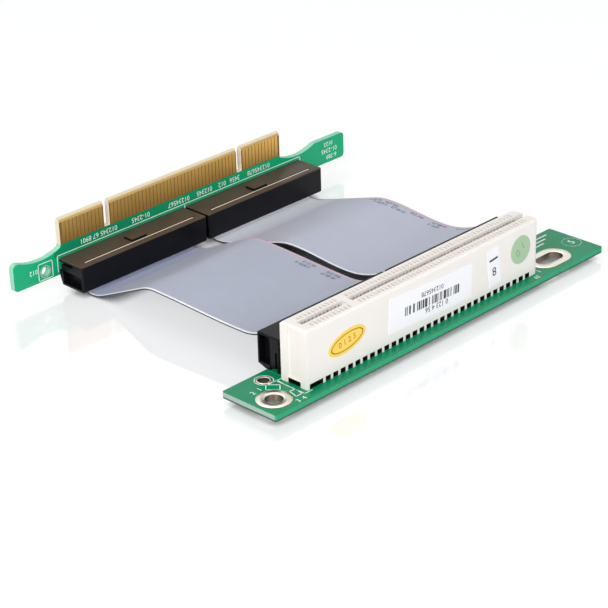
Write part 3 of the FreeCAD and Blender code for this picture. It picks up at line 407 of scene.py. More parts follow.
def finger_gold():
    """Hard gold over nickel: warm metal, drawn streaks along the wiping direction."""
    material, tree, point, axes = new_finish("hard_gold_plate")
    cloud = add(tree, "ShaderNodeTexNoise", {"Vector": point, "Scale": 1 / 16.0, "Detail": 2.0})
    gold = add(tree, "ShaderNodeMix", {0: cloud, 6: tone("E6B556"), 7: tone("F6CE80")}, data_type="RGBA")
    # Painted shade: the gold darkens towards the root of the fingers.
    root = add(tree, "ShaderNodeMapRange", {
        "Value": axes["Z"], "From Min": FINGER_TOP, "From Max": FINGER_LOW, "To Max": 0.5,
    })
    gold = add(tree, "ShaderNodeMix", {0: root, 6: gold, 7: tone("A87A3A")}, data_type="RGBA")
    drawn = add(tree, "ShaderNodeVectorMath", {0: point, 1: (9.0, 1.0, 0.8)}, operation="MULTIPLY")
    streak = add(tree, "ShaderNodeTexNoise", {"Vector": drawn, "Scale": 1.0, "Detail": 3.0})
    tint_mask = add(tree, "ShaderNodeMath", {0: streak, 1: 0.3}, operation="MULTIPLY")
    gold = add(tree, "ShaderNodeMix", {0: tint_mask, 6: gold, 7: tone("A5752E")}, data_type="RGBA")
    dull = add(tree, "ShaderNodeMapRange", {"Value": streak, "To Min": 0.36, "To Max": 0.56})
    plate = add(tree, "ShaderNodeBsdfPrincipled", {"Base Color": gold, "Metallic": 1.0, "Roughness": dull})
    add(tree, "ShaderNodeOutputMaterial", {"Surface": plate})
    return material


def mottled(name, colours, patch, grain, relief, dull, shader, gap_shade=None):
    """Soft patches of two colours, uneven gloss and fine grain in the relief; where a given mask is 1 the
    colour turns to painted shade.
    """
    material, tree, point, axes = new_finish(name)
    cloud = add(tree, "ShaderNodeTexNoise", {"Vector": point, "Scale": 1 / patch, "Detail": 3.0})
    first, second = map(tone, colours)
    colour = add(tree, "ShaderNodeMix", {0: cloud, 6: first, 7: second}, data_type="RGBA")
    if gap_shade:
        # Painted shade: near black where the mask is 1.
        colour = add(tree, "ShaderNodeMix", {
            0: gap_shade(tree, axes), 6: colour, 7: tone("121413"),
        }, data_type="RGBA")
    fine = add(tree, "ShaderNodeTexNoise", {"Vector": point, "Scale": 1 / grain, "Detail": 2.0})
    bump = add(tree, "ShaderNodeBump", {"Height": fine, "Strength": relief, "Distance": 0.03 * MM})
    gloss = add(tree, "ShaderNodeMapRange", {"Value": cloud, "To Min": dull[0], "To Max": dull[1]})
    surface = add(tree, "ShaderNodeBsdfPrincipled", {
        "Base Color": colour, "Roughness": gloss, "Normal": bump, **shader,
    })
    add(tree, "ShaderNodeOutputMaterial", {"Surface": surface})
    return material


def foot_gap_shade(tree, axes):
    """1 on the walls between the slot's feet, inside its outer faces, where painted shade goes."""
    skin = 0.03
    middle, half = SLOT_MIDDLE.y, (SLOT_HIGH.y - SLOT_LOW.y) / 2 - skin
    inside = add(tree, "ShaderNodeMath", {0: axes["Y"], 1: middle, 2: half}, operation="COMPARE")
    left, right = SLOT_LOW.x + skin, SLOT_HIGH.x - SLOT_CORNER
    between = add(tree, "ShaderNodeMath", {
        0: axes["X"], 1: (left + right) / 2, 2: (right - left) / 2,
    }, operation="COMPARE")
    foot_top = RISER_HIGH.z + FOOT_HEIGHT + skin
    low = add(tree, "ShaderNodeMath", {0: axes["Z"], 1: foot_top}, operation="LESS_THAN")
    gaps = add(tree, "ShaderNodeMath", {0: inside, 1: between}, operation="MULTIPLY")
    return add(tree, "ShaderNodeMath", {0: gaps, 1: low}, operation="MULTIPLY")


def slot_polyester():
    """Filled polyester from a fine-eroded tool: warm white, satin, with painted shade between the feet."""
    inside = {"Subsurface Weight": 0.08, "Subsurface Radius": (0.9, 0.8, 0.7), "Subsurface Scale": MM}
    shader = {"IOR": 1.57, **inside}
    return mottled(
        "white_filled_polyester", ("EAE4DD", "F1ECE7"), 7.0, 0.3, 0.12, (0.38, 0.5), shader, foot_gap_shade,
    )


def connector_polyester():
    """Black glass-filled polyester: cloudy flow marks, blue-black, with a painted brown reflection on the
    top faces of the edge board's row.
    """
    material, tree, point, axes = new_finish("black_glass_polyester")
    flow = add(tree, "ShaderNodeTexNoise", {"Vector": point, "Scale": 1 / 5.0, "Detail": 3.0})
    upright = add(tree, "ShaderNodeMix", {0: flow, 6: tone("09090D"), 7: tone("121218")}, data_type="RGBA")
    # Painted reflection: the top faces of the edge board's connectors turn brown, standing in for the gold
    # fingers mirrored there.
    painted_reflection = add(tree, "ShaderNodeMix", {0: flow, 6: tone("44372D"), 7: tone("57493F")}, data_type="RGBA")
    far = add(tree, "ShaderNodeMath", {0: axes["Y"], 1: 0.0}, operation="GREATER_THAN")
    high = box_mm("host_cover_left")[1].z - 0.4
    high = add(tree, "ShaderNodeMath", {0: axes["Z"], 1: high}, operation="GREATER_THAN")
    tint_mask = add(tree, "ShaderNodeMath", {0: far, 1: high}, operation="MULTIPLY")
    tint_mask = add(tree, "ShaderNodeMath", {0: tint_mask, 1: edge_mask(tree, "Z")}, operation="GREATER_THAN")
    colour = add(tree, "ShaderNodeMix", {0: tint_mask, 6: upright, 7: painted_reflection}, data_type="RGBA")
    fibre = add(tree, "ShaderNodeTexNoise", {"Vector": point, "Scale": 1 / 0.35, "Detail": 2.0})
    bump = add(tree, "ShaderNodeBump", {"Height": fibre, "Strength": 0.1, "Distance": 0.03 * MM})
    dull = add(tree, "ShaderNodeMapRange", {"Value": flow, "To Min": 0.28, "To Max": 0.44})
    moulded = add(tree, "ShaderNodeBsdfPrincipled", {
        "Base Color": colour, "Roughness": dull, "Normal": bump, "IOR": 1.55, "Specular IOR Level": 0.12,
    })
    add(tree, "ShaderNodeOutputMaterial", {"Surface": moulded})
    return material


def cut_cable():
    """Sawn cable end: pale vinyl with specks of copper from the conductors."""
    return mottled("cut_cable_end", ("D6C8B4", "F4ECE2"), 0.4, 0.2, 0.2, (0.45, 0.6), {"IOR": 1.5})


def tin_solder():
    """Wave-soldered tin: bright, slightly rippled metal."""
    return mottled("bright_tin_solder", ("B9BABA", "DADBD9"), 0.5, 0.4, 0.3, (0.2, 0.32), {"Metallic": 1.0})


def pad_dome(tree, axes, ring):
    """Height of the tin on one pad: 0 at the hole and the rim, 1 between them."""
    (across, back), half, inner, outer = ring
    u = add(tree, "ShaderNodeMath", {0: axes["X"], 1: -across}, operation="ADD")
    u = add(tree, "ShaderNodeMath", {0: u}, operation="ABSOLUTE")
    u = add(tree, "ShaderNodeMath", {0: u, 1: -half}, operation="ADD")
    u = add(tree, "ShaderNodeMath", {0: u, 1: 0.0}, operation="MAXIMUM")
    v = add(tree, "ShaderNodeMath", {0: axes["Y"], 1: -back}, operation="ADD")
    spoke = add(tree, "ShaderNodeCombineXYZ", {0: u, 1: v})
    reach = add(tree, "ShaderNodeVectorMath", {0: spoke}, operation="LENGTH")
    share = add(tree, "ShaderNodeMapRange", {
        "Value": reach.outputs["Value"], "From Min": inner, "From Max": outer, "To Min": -1.0,
    })
    fall = add(tree, "ShaderNodeMath", {0: share, 1: share}, operation="MULTIPLY")
    return add(tree, "ShaderNodeMath", {0: 1.0, 1: fall}, operation="SUBTRACT")


def tinned_pad():
    """Hot-levelled tin on copper: silvery and drawn up between hole and rim, with warm thin patches."""
    material, tree, point, axes = new_finish("tinned_copper_pad")
    cloud = add(tree, "ShaderNodeTexNoise", {"Vector": point, "Scale": 1 / 1.8, "Detail": 3.0})
    colour = add(tree, "ShaderNodeMix", {0: cloud, 6: tone("D8CFBF"), 7: tone("F6F3EA")}, data_type="RGBA")
    wall = edge_mask(tree, "Z")
    colour = add(tree, "ShaderNodeMix", {0: wall, 6: colour, 7: tone("8A7A6E")}, data_type="RGBA")
    dents = add(tree, "ShaderNodeTexNoise", {"Vector": point, "Scale": 1 / 1.1, "Detail": 2.0})
    height = add(tree, "ShaderNodeMath", {0: dents, 1: 0.2}, operation="MULTIPLY")
    for ring in PAD_RINGS:
        height = add(tree, "ShaderNodeMath", {0: height, 1: pad_dome(tree, axes, ring)}, operation="ADD")
    bump = add(tree, "ShaderNodeBump", {"Height": height, "Strength": 1.0, "Distance": 0.25 * MM})
    dull = add(tree, "ShaderNodeMapRange", {"Value": cloud, "To Min": 0.26, "To Max": 0.42})
    tin = add(tree, "ShaderNodeBsdfPrincipled", {
        "Base Color": colour, "Metallic": 1.0, "Roughness": dull, "Normal": bump,
    })
    add(tree, "ShaderNodeOutputMaterial", {"Surface": tin})
    return material


def sticker_paper(name, *colours):
    """Coated sticker paper: even colour, fine fibres and a soft shine."""
    return mottled(name, colours, 0.5, 0.3, 0.1, (0.4, 0.5), {"IOR": 1.45})


def printing_ink(name, *colours):
    """Printing ink: chalky, a little uneven where less of it was laid."""
    return mottled(name, colours, 0.6, 0.2, 0.1, (0.55, 0.7), {"IOR": 1.45})


# Geometry Nodes helpers
def new_tree(name, sockets):
    """A geometry tree with named inputs; returns it with its input node and the sockets' identifiers."""
    tree = bpy.data.node_groups.new(name, "GeometryNodeTree")
    for label, kind in sockets.items():
        tree.interface.new_socket(label, in_out="INPUT", socket_type=kind)
    tree.interface.new_socket("Mesh", in_out="OUTPUT", socket_type="NodeSocketGeometry")
    sockets = [item for item in tree.interface.items_tree if item.item_type == "SOCKET"]
    keys = {item.name: item.identifier for item in sockets if item.in_out == "INPUT"}
    return tree, add(tree, "NodeGroupInput"), keys


def run_tree(name, tree, keys, values, start=None):
    """Run a geometry tree once and keep its result as a plain mesh object."""
    maker = bpy.data.objects.new(f"{name}_maker", start or bpy.data.meshes.new(f"{name}_start"))
    bpy.context.scene.collection.objects.link(maker)
    modifier = maker.modifiers.new("maker", "NODES")
    modifier.node_group = tree
    for label, value in values.items():
        modifier[keys[label]] = value
    graph = bpy.context.evaluated_depsgraph_get()
    mesh = bpy.data.meshes.new_from_object(maker.evaluated_get(graph))
    maker.modifiers.remove(modifier)
    bpy.data.objects.remove(maker)
    return new_piece(name, mesh)


def new_piece(name, mesh):
    mesh.name = name
    piece = bpy.data.objects.new(name, mesh)
    bpy.context.scene.collection.objects.link(piece)
    return piece


def settle(piece, slot, *nodes):
    """Tie a finished piece to the card and hide the nodes that it stands for; its finish slot is not used.
    """
    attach(piece, BODY)
    if nodes:
        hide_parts(*nodes)


def dress(material, *nodes):
    """Give CAD nodes a finish."""
    for node in nodes:
        mesh = NODES[node].data
        mesh.materials.clear()
        mesh.materials.append(material)


def close_shape(shape, name):
    """A mesh from a built shape, with its faces turned outwards."""
    bmesh.ops.recalc_face_normals(shape, faces=shape.faces)
    mesh = bpy.data.meshes.new(name)
    shape.to_mesh(mesh)
    shape.free()
    return mesh


# Ribbon cables
class Route:
    """Level runs, arcs and slopes in the upright plane along Y, as points along the cable's middle."""

    ARC_STEP = math.radians(6)
    SLOPE_STEP = 2.0

    def __init__(self, across, back, up):
        self.place = Vector((across, back, up))
        self.heading = 0.0
        self.points = [self.place.copy()]

    def straight(self, length):
        step = Vector((0, math.cos(self.heading), math.sin(self.heading))) * length
        count = max(1, math.ceil(length / self.SLOPE_STEP))
        self.points += [self.place + step * (index + 1) / count for index in range(count)]
        self.place = self.points[-1].copy()

    def turn(self, radius, angle):
        hand = math.copysign(1, angle)
        side = Vector((0, -math.sin(self.heading), math.cos(self.heading))) * hand
        centre = self.place + side * radius
        steps = max(4, math.ceil(abs(angle) / self.ARC_STEP))
        for step in range(1, steps + 1):
            heading = self.heading + angle * step / steps
            out = Vector((0, math.sin(heading), -math.cos(heading))) * hand
            self.points.append(centre + out * radius)
        self.heading += angle
        self.place = self.points[-1].copy()

    def ease(self, back, up, sweep, first=None):
        """Level to level at another height: an arc of a given or equal radius, a slope and the arc back."""
        run, rise = back - self.place.y, up - self.place.z
        height = abs(rise)
        both = sweep * (run ** 2 + height ** 2) / (2 * height)
        radius = first or both / 2
        slope = math.sqrt(run ** 2 + (height - both) ** 2 - both ** 2)
        angle = math.atan2(height - both, run) + math.atan2(both, slope)
        angle = math.copysign(angle, rise)
        self.turn(radius, angle)
        self.straight(slope)
        self.turn(both - radius, -angle)


def cable_route(side):
    """The cable's middle line from cut end to cut end, and the stretch along Y that hangs free."""
    base_high = box_mm(f"riser_base_{side}")[1]
    cover_low = box_mm(f"riser_cover_{side}")[0]
    host_base_low = box_mm(f"host_base_{side}")[0]
    host_cover_high = box_mm(f"host_cover_{side}")[1]
    low, high = box_mm(f"ribbon_{side}")
    half = RIBBON_THICKNESS / 2
    cut_end = cover_low.y + CUT_INSET
    lead_end = base_high.y + LEAD_OUT
    bend_start = host_base_low.y + half - BEND_RADIUS
    (dip_reach, dip_level), (crest_reach, crest_level) = RIBBON_WAVES[side].values()
    route = Route((low.x + high.x) / 2, cut_end, base_high.z - half)
    route.straight(lead_end - cut_end)
    route.ease(lead_end + dip_reach, dip_level, WAVE_SWEEP, EXIT_BEND)
    route.ease(bend_start - crest_reach, crest_level, WAVE_SWEEP)
    route.ease(bend_start, half, DROP_SWEEP)
    route.turn(BEND_RADIUS, math.pi / 2)
    route.straight(host_cover_high.z - CUT_INSET - route.place.z)
    return route.points, lead_end, bend_start


def poly_curve(name, points, cyclic):
    """A curve object through points given in millimetres."""
    data = bpy.data.curves.new(name, "CURVE")
    data.dimensions = "3D"
    spline = data.splines.new("POLY")
    spline.points.add(len(points) - 1)
    for knot, point in zip(spline.points, points):
        knot.co = (*(point * MM), 1.0)
    spline.use_cyclic_u = cyclic
    curve = bpy.data.objects.new(name, data)
    bpy.context.scene.collection.objects.link(curve)
    return curve


EDGE_STEPS = 4


def ridge_outline():
    """Cross-section of the cable: a rounded ridge over each conductor, thin webs between, round edges."""
    web, roundness, shares = 0.66, 0.7, (0.0, 0.18, 0.5, 0.82)
    half_width = RIBBON_WAYS * RIBBON_PITCH / 2
    upper = []
    for way in range(RIBBON_WAYS):
        for share in shares:
            height = web + (1 - web) * math.sin(math.pi * share) ** roundness
            across = way * RIBBON_PITCH + share * RIBBON_PITCH - half_width
            upper.append((across, height * RIBBON_THICKNESS / 2))
    crown = RIBBON_PITCH / 2
    upper = [point for point in upper if point[0] >= crown - half_width]
    while upper[-1][0] > half_width - crown:
        upper.pop()
    rounding = []
    for step in range(EDGE_STEPS):
        turn = math.pi / 2 * step / EDGE_STEPS
        rounding.append((crown * (1 - math.cos(turn)), math.sin(turn) * RIBBON_THICKNESS / 2))
    left = [(depth - half_width, height) for depth, height in rounding]
    right = [(half_width - depth, height) for depth, height in reversed(rounding)]
    upper = left + upper + right
    lower = [(across, -height) for across, height in reversed(upper[1:-1])]
    return [Vector((across, height, 0)) for across, height in upper + lower]


def sweep_tree():
    """Profile swept along a path, closed at both ends."""
    tree, given, keys = new_tree("cable_sweep", {
        "Path": "NodeSocketObject", "Profile": "NodeSocketObject", "Vinyl": "NodeSocketMaterial",
    })
    path = add(tree, "GeometryNodeObjectInfo", {"Object": given.outputs["Path"]})
    profile = add(tree, "GeometryNodeObjectInfo", {"Object": given.outputs["Profile"]})
    swept = add(tree, "GeometryNodeCurveToMesh", {
        "Curve": path.outputs["Geometry"], "Profile Curve": profile.outputs["Geometry"], "Fill Caps": True,
    })
    real = add(tree, "GeometryNodeRealizeInstances", {0: swept})
    coated = add(tree, "GeometryNodeSetMaterial", {0: real, "Material": given.outputs["Vinyl"]})
    add(tree, "NodeGroupOutput", {"Mesh": coated})
    return tree, keys


def make_ribbons():
    """The two cables, swept along the CAD cables' lines with a slight twist where they hang free."""
    tree, keys = sweep_tree()
    sawn = cut_cable()
    profile = poly_curve("cable_profile", ridge_outline(), True)
    half_width = RIBBON_WAYS * RIBBON_PITCH / 2
    for side in RIBBON_WAVES:
        points, start, end = cable_route(side)
        path = poly_curve(f"path_{side}", points, False)
        for knot, point in zip(path.data.splines[0].points, points):
            share = min(max((point.y - start) / (end - start), 0), 1)
            knot.tilt = -4 * share * (1 - share) * math.atan(RIBBON_TWIST[side] / half_width)
        values = {"Path": path, "Profile": profile, "Vinyl": cable_vinyl(side)}
        piece = run_tree(f"ribbon_cable_{side}", tree, keys, values)
        bpy.data.objects.remove(path)
        shape = bmesh.new()
        shape.from_mesh(piece.data)
        for face in shape.faces:
            capped = len(face.verts) > 4
            face.material_index = 1 if capped else 0
            face.smooth = not capped
        bmesh.ops.recalc_face_normals(shape, faces=shape.faces)
        shape.to_mesh(piece.data)
        shape.free()
        piece.data.materials.append(sawn)
        settle(piece, "grey_ribbon", f"ribbon_{side}")
    bpy.data.objects.remove(profile)


# Solder joints
JOINT_SIDES = 10
JOINT_PROFILE = (
    (0.58, 0.0), (0.42, 0.16), (0.31, 0.42), (0.25, 0.85), (0.2, 0.95), (0.2, 1.66), (0.13, 1.78),
)


def joint_shape(name, turn):
    """One joint: a hollow-sided fillet of solder that climbs a round tail, along -Z before its turn."""
    shape = bmesh.new()
    rings = []
    for radius, drop in JOINT_PROFILE:
        ring = []
        for side in range(JOINT_SIDES):
            angle = 2 * math.pi * side / JOINT_SIDES
            place = Vector((radius * math.cos(angle), radius * math.sin(angle), -drop)) * MM
            ring.append(shape.verts.new(turn @ place))
        rings.append(ring)
    for first, second in zip(rings, rings[1:]):
        for side in range(JOINT_SIDES):
            after = (side + 1) % JOINT_SIDES
            face = shape.faces.new((first[side], second[side], second[after], first[after]))
            face.smooth = True
    shape.faces.new(rings[0])
    shape.faces.new(reversed(rings[-1]))
    return new_piece(name, close_shape(shape, name))


def joint_places(node, axis, level):
    """Points on the board where the CAD joints stand, read from the tips of their cones."""
    low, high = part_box(node)
    tip = low[2] if axis == 2 else high[axis]
    found = set()
    for vertex in NODES[node].data.vertices:
        if abs(vertex.co[axis] - tip) < 0.01 * MM:
            place = vertex.co.copy()
            place[axis] = level * MM
            found.add(tuple(round(value, 6) for value in place))
    return sorted(found)


def scatter_tree():
    """A shape repeated on points, made real."""
    tree, given, keys = new_tree("joint_rows", {
        "Points": "NodeSocketGeometry", "Shape": "NodeSocketObject", "Metal": "NodeSocketMaterial",
    })
    shape = add(tree, "GeometryNodeObjectInfo", {"Object": given.outputs["Shape"], "As Instance": True})
    rows = add(tree, "GeometryNodeInstanceOnPoints", {
        "Points": given.outputs["Points"], "Instance": shape.outputs["Geometry"],
    })
    real = add(tree, "GeometryNodeRealizeInstances", {0: rows})
    coated = add(tree, "GeometryNodeSetMaterial", {0: real, "Material": given.outputs["Metal"]})
    add(tree, "NodeGroupOutput", {"Mesh": coated})
    return tree, keys


def make_joints():
    """Solder under the slot board and behind the edge board."""
    tree, keys = scatter_tree()
    solder = tin_solder()
    riser_nodes = ("slot_joints", "riser_joints_left", "riser_joints_right")
    host_nodes = ("host_joints_left", "host_joints_right")
    groups = (
        ("riser_solder", riser_nodes, 2, RISER_LOW.z, Matrix()),
        ("host_solder", host_nodes, 1, HOST_HIGH.y, Matrix.Rotation(math.pi / 2, 4, "X")),
    )
    for name, nodes, axis, level, turn in groups:
        places = [place for node in nodes for place in joint_places(node, axis, level)]
        start = bpy.data.meshes.new(f"{name}_points")
        start.from_pydata(places, [], [])
        shape = joint_shape(f"{name}_shape", turn)
        piece = run_tree(name, tree, keys, {"Shape": shape, "Metal": solder}, start)
        bpy.data.objects.remove(shape)
        settle(piece, "solder", *nodes)


# Printed marks
class Print:
    """Flat marks on a face: outlines in face coordinates, raised by a film of ink."""

    FILM = 0.03
    LINE = 0.22

    def __init__(self, to_space):
        self.to_space = to_space
        self.shape = bmesh.new()

    def patch(self, outline):
        """A filled, straight-sided patch; the outline runs anticlockwise."""
        count = len(outline)
        low = [self.shape.verts.new(self.to_space(u, v, 0) * MM) for u, v in outline]
        high = [self.shape.verts.new(self.to_space(u, v, self.FILM) * MM) for u, v in outline]
        self.shape.faces.new(high)
        self.shape.faces.new(list(reversed(low)))
        for index in range(count):
            after = (index + 1) % count
            self.shape.faces.new((low[index], low[after], high[after], high[index]))

    def stroke(self, start, end, width=LINE):
        along = (Vector(end) - Vector(start)).normalized() * width / 2
        side = Vector((-along.y, along.x))
        first, last = Vector(start) - along, Vector(end) + along
        self.patch([first - side, last - side, last + side, first + side])

    def line(self, *corners):
        for start, end in zip(corners, corners[1:]):
            self.stroke(start, end)

    def ring(self, centre, across, up, sides):
        """An oval outline with two half widths."""
        turns = [2 * math.pi * (index + 0.5) / sides for index in range(sides + 1)]
        middle = Vector(centre)
        self.line(*[middle + Vector((across * math.cos(turn), up * math.sin(turn))) for turn in turns])

    def figure(self, text, place, height, turn=0.0):
        """Plain numerals, centred on a place."""
        data = bpy.data.curves.new("numerals", "FONT")
        data.body = text
        data.size = height * 1.4
        data.align_x = "CENTER"
        data.align_y = "CENTER"
        data.extrude = self.FILM / 2
        data.resolution_u = 3
        numerals = bpy.data.objects.new("numerals", data)
        bpy.context.scene.collection.objects.link(numerals)
        graph = bpy.context.evaluated_depsgraph_get()
        mesh = bpy.data.meshes.new_from_object(numerals.evaluated_get(graph))
        bpy.data.objects.remove(numerals)
        spin = Matrix.Rotation(math.radians(turn), 2)
        for vertex in mesh.vertices:
            u, v = spin @ vertex.co.to_2d() + Vector(place)
            vertex.co = self.to_space(u, v, vertex.co.z + self.FILM / 2) * MM
        self.shape.from_mesh(mesh)
        bpy.data.meshes.remove(mesh)

    def settle(self, name, material, slot):
        mesh = bpy.data.meshes.new(name)
        self.shape.to_mesh(mesh)
        self.shape.free()
        mesh.materials.append(material)
        settle(new_piece(name, mesh), slot)


def print_riser(ink):
    """White legend of the slot board: outlines of what is soldered on, rings and plain figures."""
    legend = Print(lambda u, v, w: Vector((RISER_LOW.x + u, RISER_LOW.y + v, RISER_HIGH.z + w)))
    left, right = SLOT_LOW.x - RISER_LOW.x - 1.3, SLOT_HIGH.x - RISER_LOW.x + 0.8
    front, back = SLOT_LOW.y - RISER_LOW.y - 0.35, SLOT_HIGH.y - RISER_LOW.y + 0.35
    legend.line((left + 2.4, front), (left, front), (left, back), (right, back), (right, front))
    legend.line((9.1, 12.34), (11.29, 9.87), (9.5, 8.09), (7.32, 10.55), (9.1, 12.34))
    legend.line((9.54, 12.22), (12.4, 11.94), (12.16, 9.25))
    legend.line((10.5, 6.0), (12.15, 5.67), (11.76, 3.2), (9.82, 3.08), (10.5, 6.0))
    hole = (TOOLING_HOLE[0] - RISER_LOW.x, TOOLING_HOLE[1] - RISER_LOW.y)
    legend.ring(hole, 2.4, 2.4, 8)
    legend.figure("1", (6.5, 11.8), 1.5)
    legend.figure("2", (4.2, 11.6), 1.5)
    legend.figure("3", (8.7, 1.3), 1.4)
    legend.figure("4", (10.6, 1.3), 1.4)
    legend.figure("62", (96.0, 1.2), 1.3)
    legend.ring((118.9, 7.85), 2.6, 2.6, 40)
    legend.figure("5", (118.9, 7.85), 2.2)
    for index in range(3):
        legend.stroke((108.0, 15.8 - 1.5 * index), (118.0 - 2.4 * index, 15.8 - 1.5 * index), 0.5)
    legend.settle("riser_legend", ink, "white_label")


# Figures on the edge board, upside down: text, place along X, height above the floor, letter height
HOST_FIGURES = (
    ("012345 67 8901", -32.4, 11.15, 1.4), ("01-2345", -17.7, 11.15, 1.4), ("01234567", -3.9, 11.15, 1.4),
    ("012345", 5.6, 11.15, 1.4), ("012", 12.3, 11.15, 1.4), ("3456", 17.1, 11.15, 1.4),
    ("012345678", 26.4, 11.15, 1.4), ("012", -54.6, 7.9, 1.3), ("0123", 54.6, 10.2, 1.3),
    ("01-2345", 54.9, 8.2, 1.4), ("6-789", 55.8, 6.2, 1.3),
)


def print_host(ink):
    """White legend of the edge board: outlines round the connectors and the hole, and rows of figures."""
    legend = Print(lambda u, v, w: Vector((u, HOST_LOW.y - w, v)))
    left, right = box_mm("host_base_left")[0].x, box_mm("host_base_right")[1].x
    left, right = left - 0.5, right + 0.5
    over = box_mm("host_cover_left")[1].z + 0.75
    legend.line((left, over - 4.4), (left, over), (right, over), (right, over - 4.4))
    middle = (left + right) / 2
    legend.line((middle, over), (middle, over - 1.6))
    for figures, u, v, height in HOST_FIGURES:
        legend.figure(figures, (u, v), height, 180)
    legend.ring(HOST_HOLE, 1.6, 1.6, 24)
    corners = ((-2.3, -2.1), (2.3, -2.1), (2.3, 2.5), (-2.3, 2.5), (-2.3, -2.1))
    legend.line(*[(HOST_HOLE[0] + u, HOST_HOLE[1] + v) for u, v in corners])
    legend.settle("host_legend", ink, "white_label")


# Figures on the cables: text, distance from the marked edge and place along Y
CABLE_FIGURES = {
    "left": (
        ("0 12 34", 1.9, -7.0), ("012 345", 1.9, -15.5), ("0 1234 5", 3.4, -6.0), ("67 89 01", 3.4, -15.0),
    ),
    "right": (
        ("0 12 34", 1.9, 11.0), ("012 345", 1.9, 5.0), ("0 1234 5", 3.3, 8.0), ("67 89 01", 3.3, 1.5),
        ("012 345", 1.9, -4.0), ("67 89 01", 1.9, -12.0), ("0 1234", 3.3, -11.0), ("0 12 34", 1.9, -20.0),
    ),
}


def cable_print(side):
    """Marks on a cable's upper face, measured along Y and from its marked edge."""
    points, start, end = cable_route(side)
    free = [point for point in points if start <= point.y <= end]
    edge = box_mm(f"ribbon_{side}")[1].x

    def to_space(u, v, w):
        after = next(index for index, point in enumerate(free) if point.y > u)
        share = (u - free[after - 1].y) / (free[after].y - free[after - 1].y)
        level = free[after - 1].lerp(free[after], share).z + RIBBON_THICKNESS / 2
        across = 1 - v / (RIBBON_WAYS * RIBBON_PITCH / 2)
        along = (u - start) / (end - start)
        twist = 4 * along * (1 - along) * RIBBON_TWIST[side] * across
        return Vector((edge - v, u, level + twist + w))

    return Print(to_space)


def print_cables():
    """Small plain figures along the cables' marked edges."""
    ink = printing_ink("grey_cable_ink", "5E6478", "747A8E")
    for side, rows in CABLE_FIGURES.items():
        legend = cable_print(side)
        for figures, inset, back in rows:
            legend.figure(figures, (back, inset), 1.0, 180)
        legend.settle(f"cable_print_{side}", ink, "black_plastic")


def sticker_print(node):
    """Marks on a sticker of the slot's front face, measured from its middle along its tilt."""
    low, high = box_mm(node)
    middle = (low + high) / 2
    tilt = Matrix.Rotation(math.radians(LABEL_TILT[node]), 2)

    def to_space(u, v, w):
        across, up = tilt @ Vector((u, v))
        return Vector((middle.x + across, low.y - w, middle.z + up))

    return Print(to_space)


BAR_WIDTHS = (
    1, 1, 1, 2, 2, 3, 2, 3, 1, 1, 2, 1, 1, 1, 2, 1, 3, 2, 1, 3, 1, 1, 1, 1, 2, 1, 1, 2, 1, 1, 1, 2, 3, 1,
    1, 1, 1, 2, 1, 3, 1, 1, 2, 1, 2,
)
BARS_LEFT, BARS_RIGHT = -9.6, 10.3


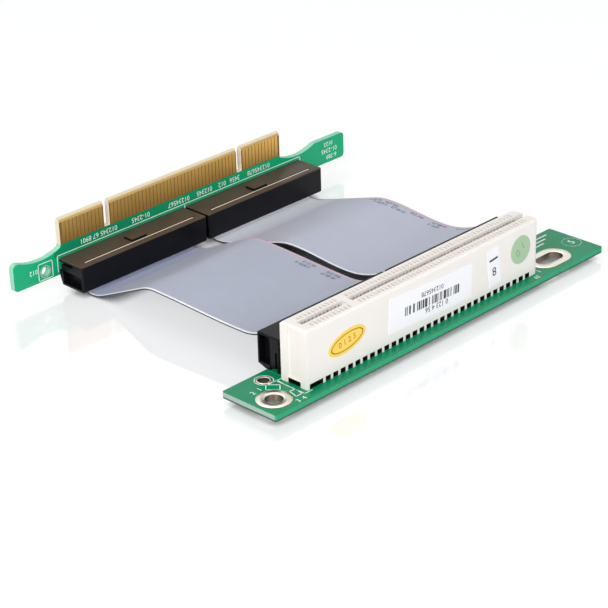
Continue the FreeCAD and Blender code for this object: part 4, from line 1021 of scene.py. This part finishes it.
def print_stickers():
    """Stock bars and plain figures on the labels, a plain outline and figures on the round stickers."""
    black = printing_ink("black_label_ink", "2A2A2D", "47474B")
    wide = sticker_print("wide_label")
    unit = (BARS_RIGHT - BARS_LEFT) / sum(BAR_WIDTHS)
    start = BARS_LEFT
    for index, width in enumerate(BAR_WIDTHS):
        end = start + width * unit
        if index % 2 == 0:
            wide.patch([(start, -1.6), (end, -1.6), (end, 0.7), (start, 0.7)])
        start = end
    wide.figure("012345678", (0.3, 2.1), 1.3, 180)
    wide.figure("0 123 4 56", (2.0, -2.5), 1.4, 180)
    wide.settle("wide_label_print", black, "black_plastic")
    narrow = sticker_print("narrow_label")
    narrow.stroke((-1.3, 2.2), (1.3, 2.2), 0.55)
    narrow.figure("8", (-0.1, -1.4), 2.4)
    narrow.settle("narrow_label_print", black, "black_plastic")
    oval = sticker_print("oval_sticker")
    oval.ring((0, 0), 5.4, 2.0, 48)
    oval.figure("0 1 2 3", (0, 0), 1.5)
    oval.settle("oval_print", printing_ink("brown_sticker_ink", "A8761E", "BE8C2C"), "black_plastic")
    dot = sticker_print("round_sticker")
    dot.figure("0", (-1.0, -0.8), 2.2, 30)
    dot.figure("1", (0.9, 0.8), 2.2, 30)
    dot.settle("round_print", printing_ink("green_sticker_ink", "7FA27A", "93B58E"), "black_plastic")


def make_underside_pads(material):
    """Bare pads round the plated holes, below the slot board."""
    shape = bmesh.new()
    thickness, sides = 0.05, 48
    for centre, half, inner, outer in PAD_RINGS:
        loops = []
        for radius, drop in ((inner, 0.0), (outer, 0.0), (outer, thickness), (inner, thickness)):
            loop = []
            for side in range(sides):
                angle = 2 * math.pi * (side + 0.5) / sides
                shift = math.copysign(half, math.cos(angle))
                u = centre[0] + shift + radius * math.cos(angle)
                v = centre[1] + radius * math.sin(angle)
                loop.append(shape.verts.new(Vector((u, v, RISER_LOW.z - drop)) * MM))
            loops.append(loop)
        for index in range(4):
            first, second = loops[index], loops[(index + 1) % 4]
            for side in range(sides):
                after = (side + 1) % sides
                shape.faces.new((first[side], first[after], second[after], second[side]))
    mesh = close_shape(shape, "underside_pads")
    mesh.materials.append(material)
    settle(new_piece("underside_pads", mesh), "tinned_copper")


def dress_nodes():
    """Finishes of the CAD nodes that show as they are."""
    pad = tinned_pad()
    black = connector_polyester()
    dress(riser_resist(), "riser_board")
    dress(host_resist(), "host_board")
    dress(slot_polyester(), "slot_housing")
    dress(pad, "plated_holes")
    gold_rows = [f"{row}_{face}" for row in ("slot_contacts", "host_fingers") for face in ("front", "back")]
    dress(finger_gold(), *gold_rows)
    for board in ("riser", "host"):
        for side in ("left", "right"):
            dress(black, f"{board}_base_{side}", f"{board}_cover_{side}")
    dress(sticker_paper("white_label_paper", "EEEEF0", "F6F6F7"), "wide_label", "narrow_label")
    dress(sticker_paper("yellow_sticker_paper", "F2CC4C", "F8D65E"), "oval_sticker")
    dress(sticker_paper("pale_green_paper", "9CBC96", "ABC8A4"), "round_sticker")
    make_underside_pads(pad)


def make_legends():
    ink = printing_ink("white_screen_ink", "D5E8DE", "F3F8F5")
    print_riser(ink)
    print_host(ink)
    print_cables()
    print_stickers()


bpy.context.scene.view_settings.view_transform = "Standard"
make_camera()
make_floor()
make_room()
make_lamps()
dress_nodes()
make_ribbons()
make_joints()
make_legends()
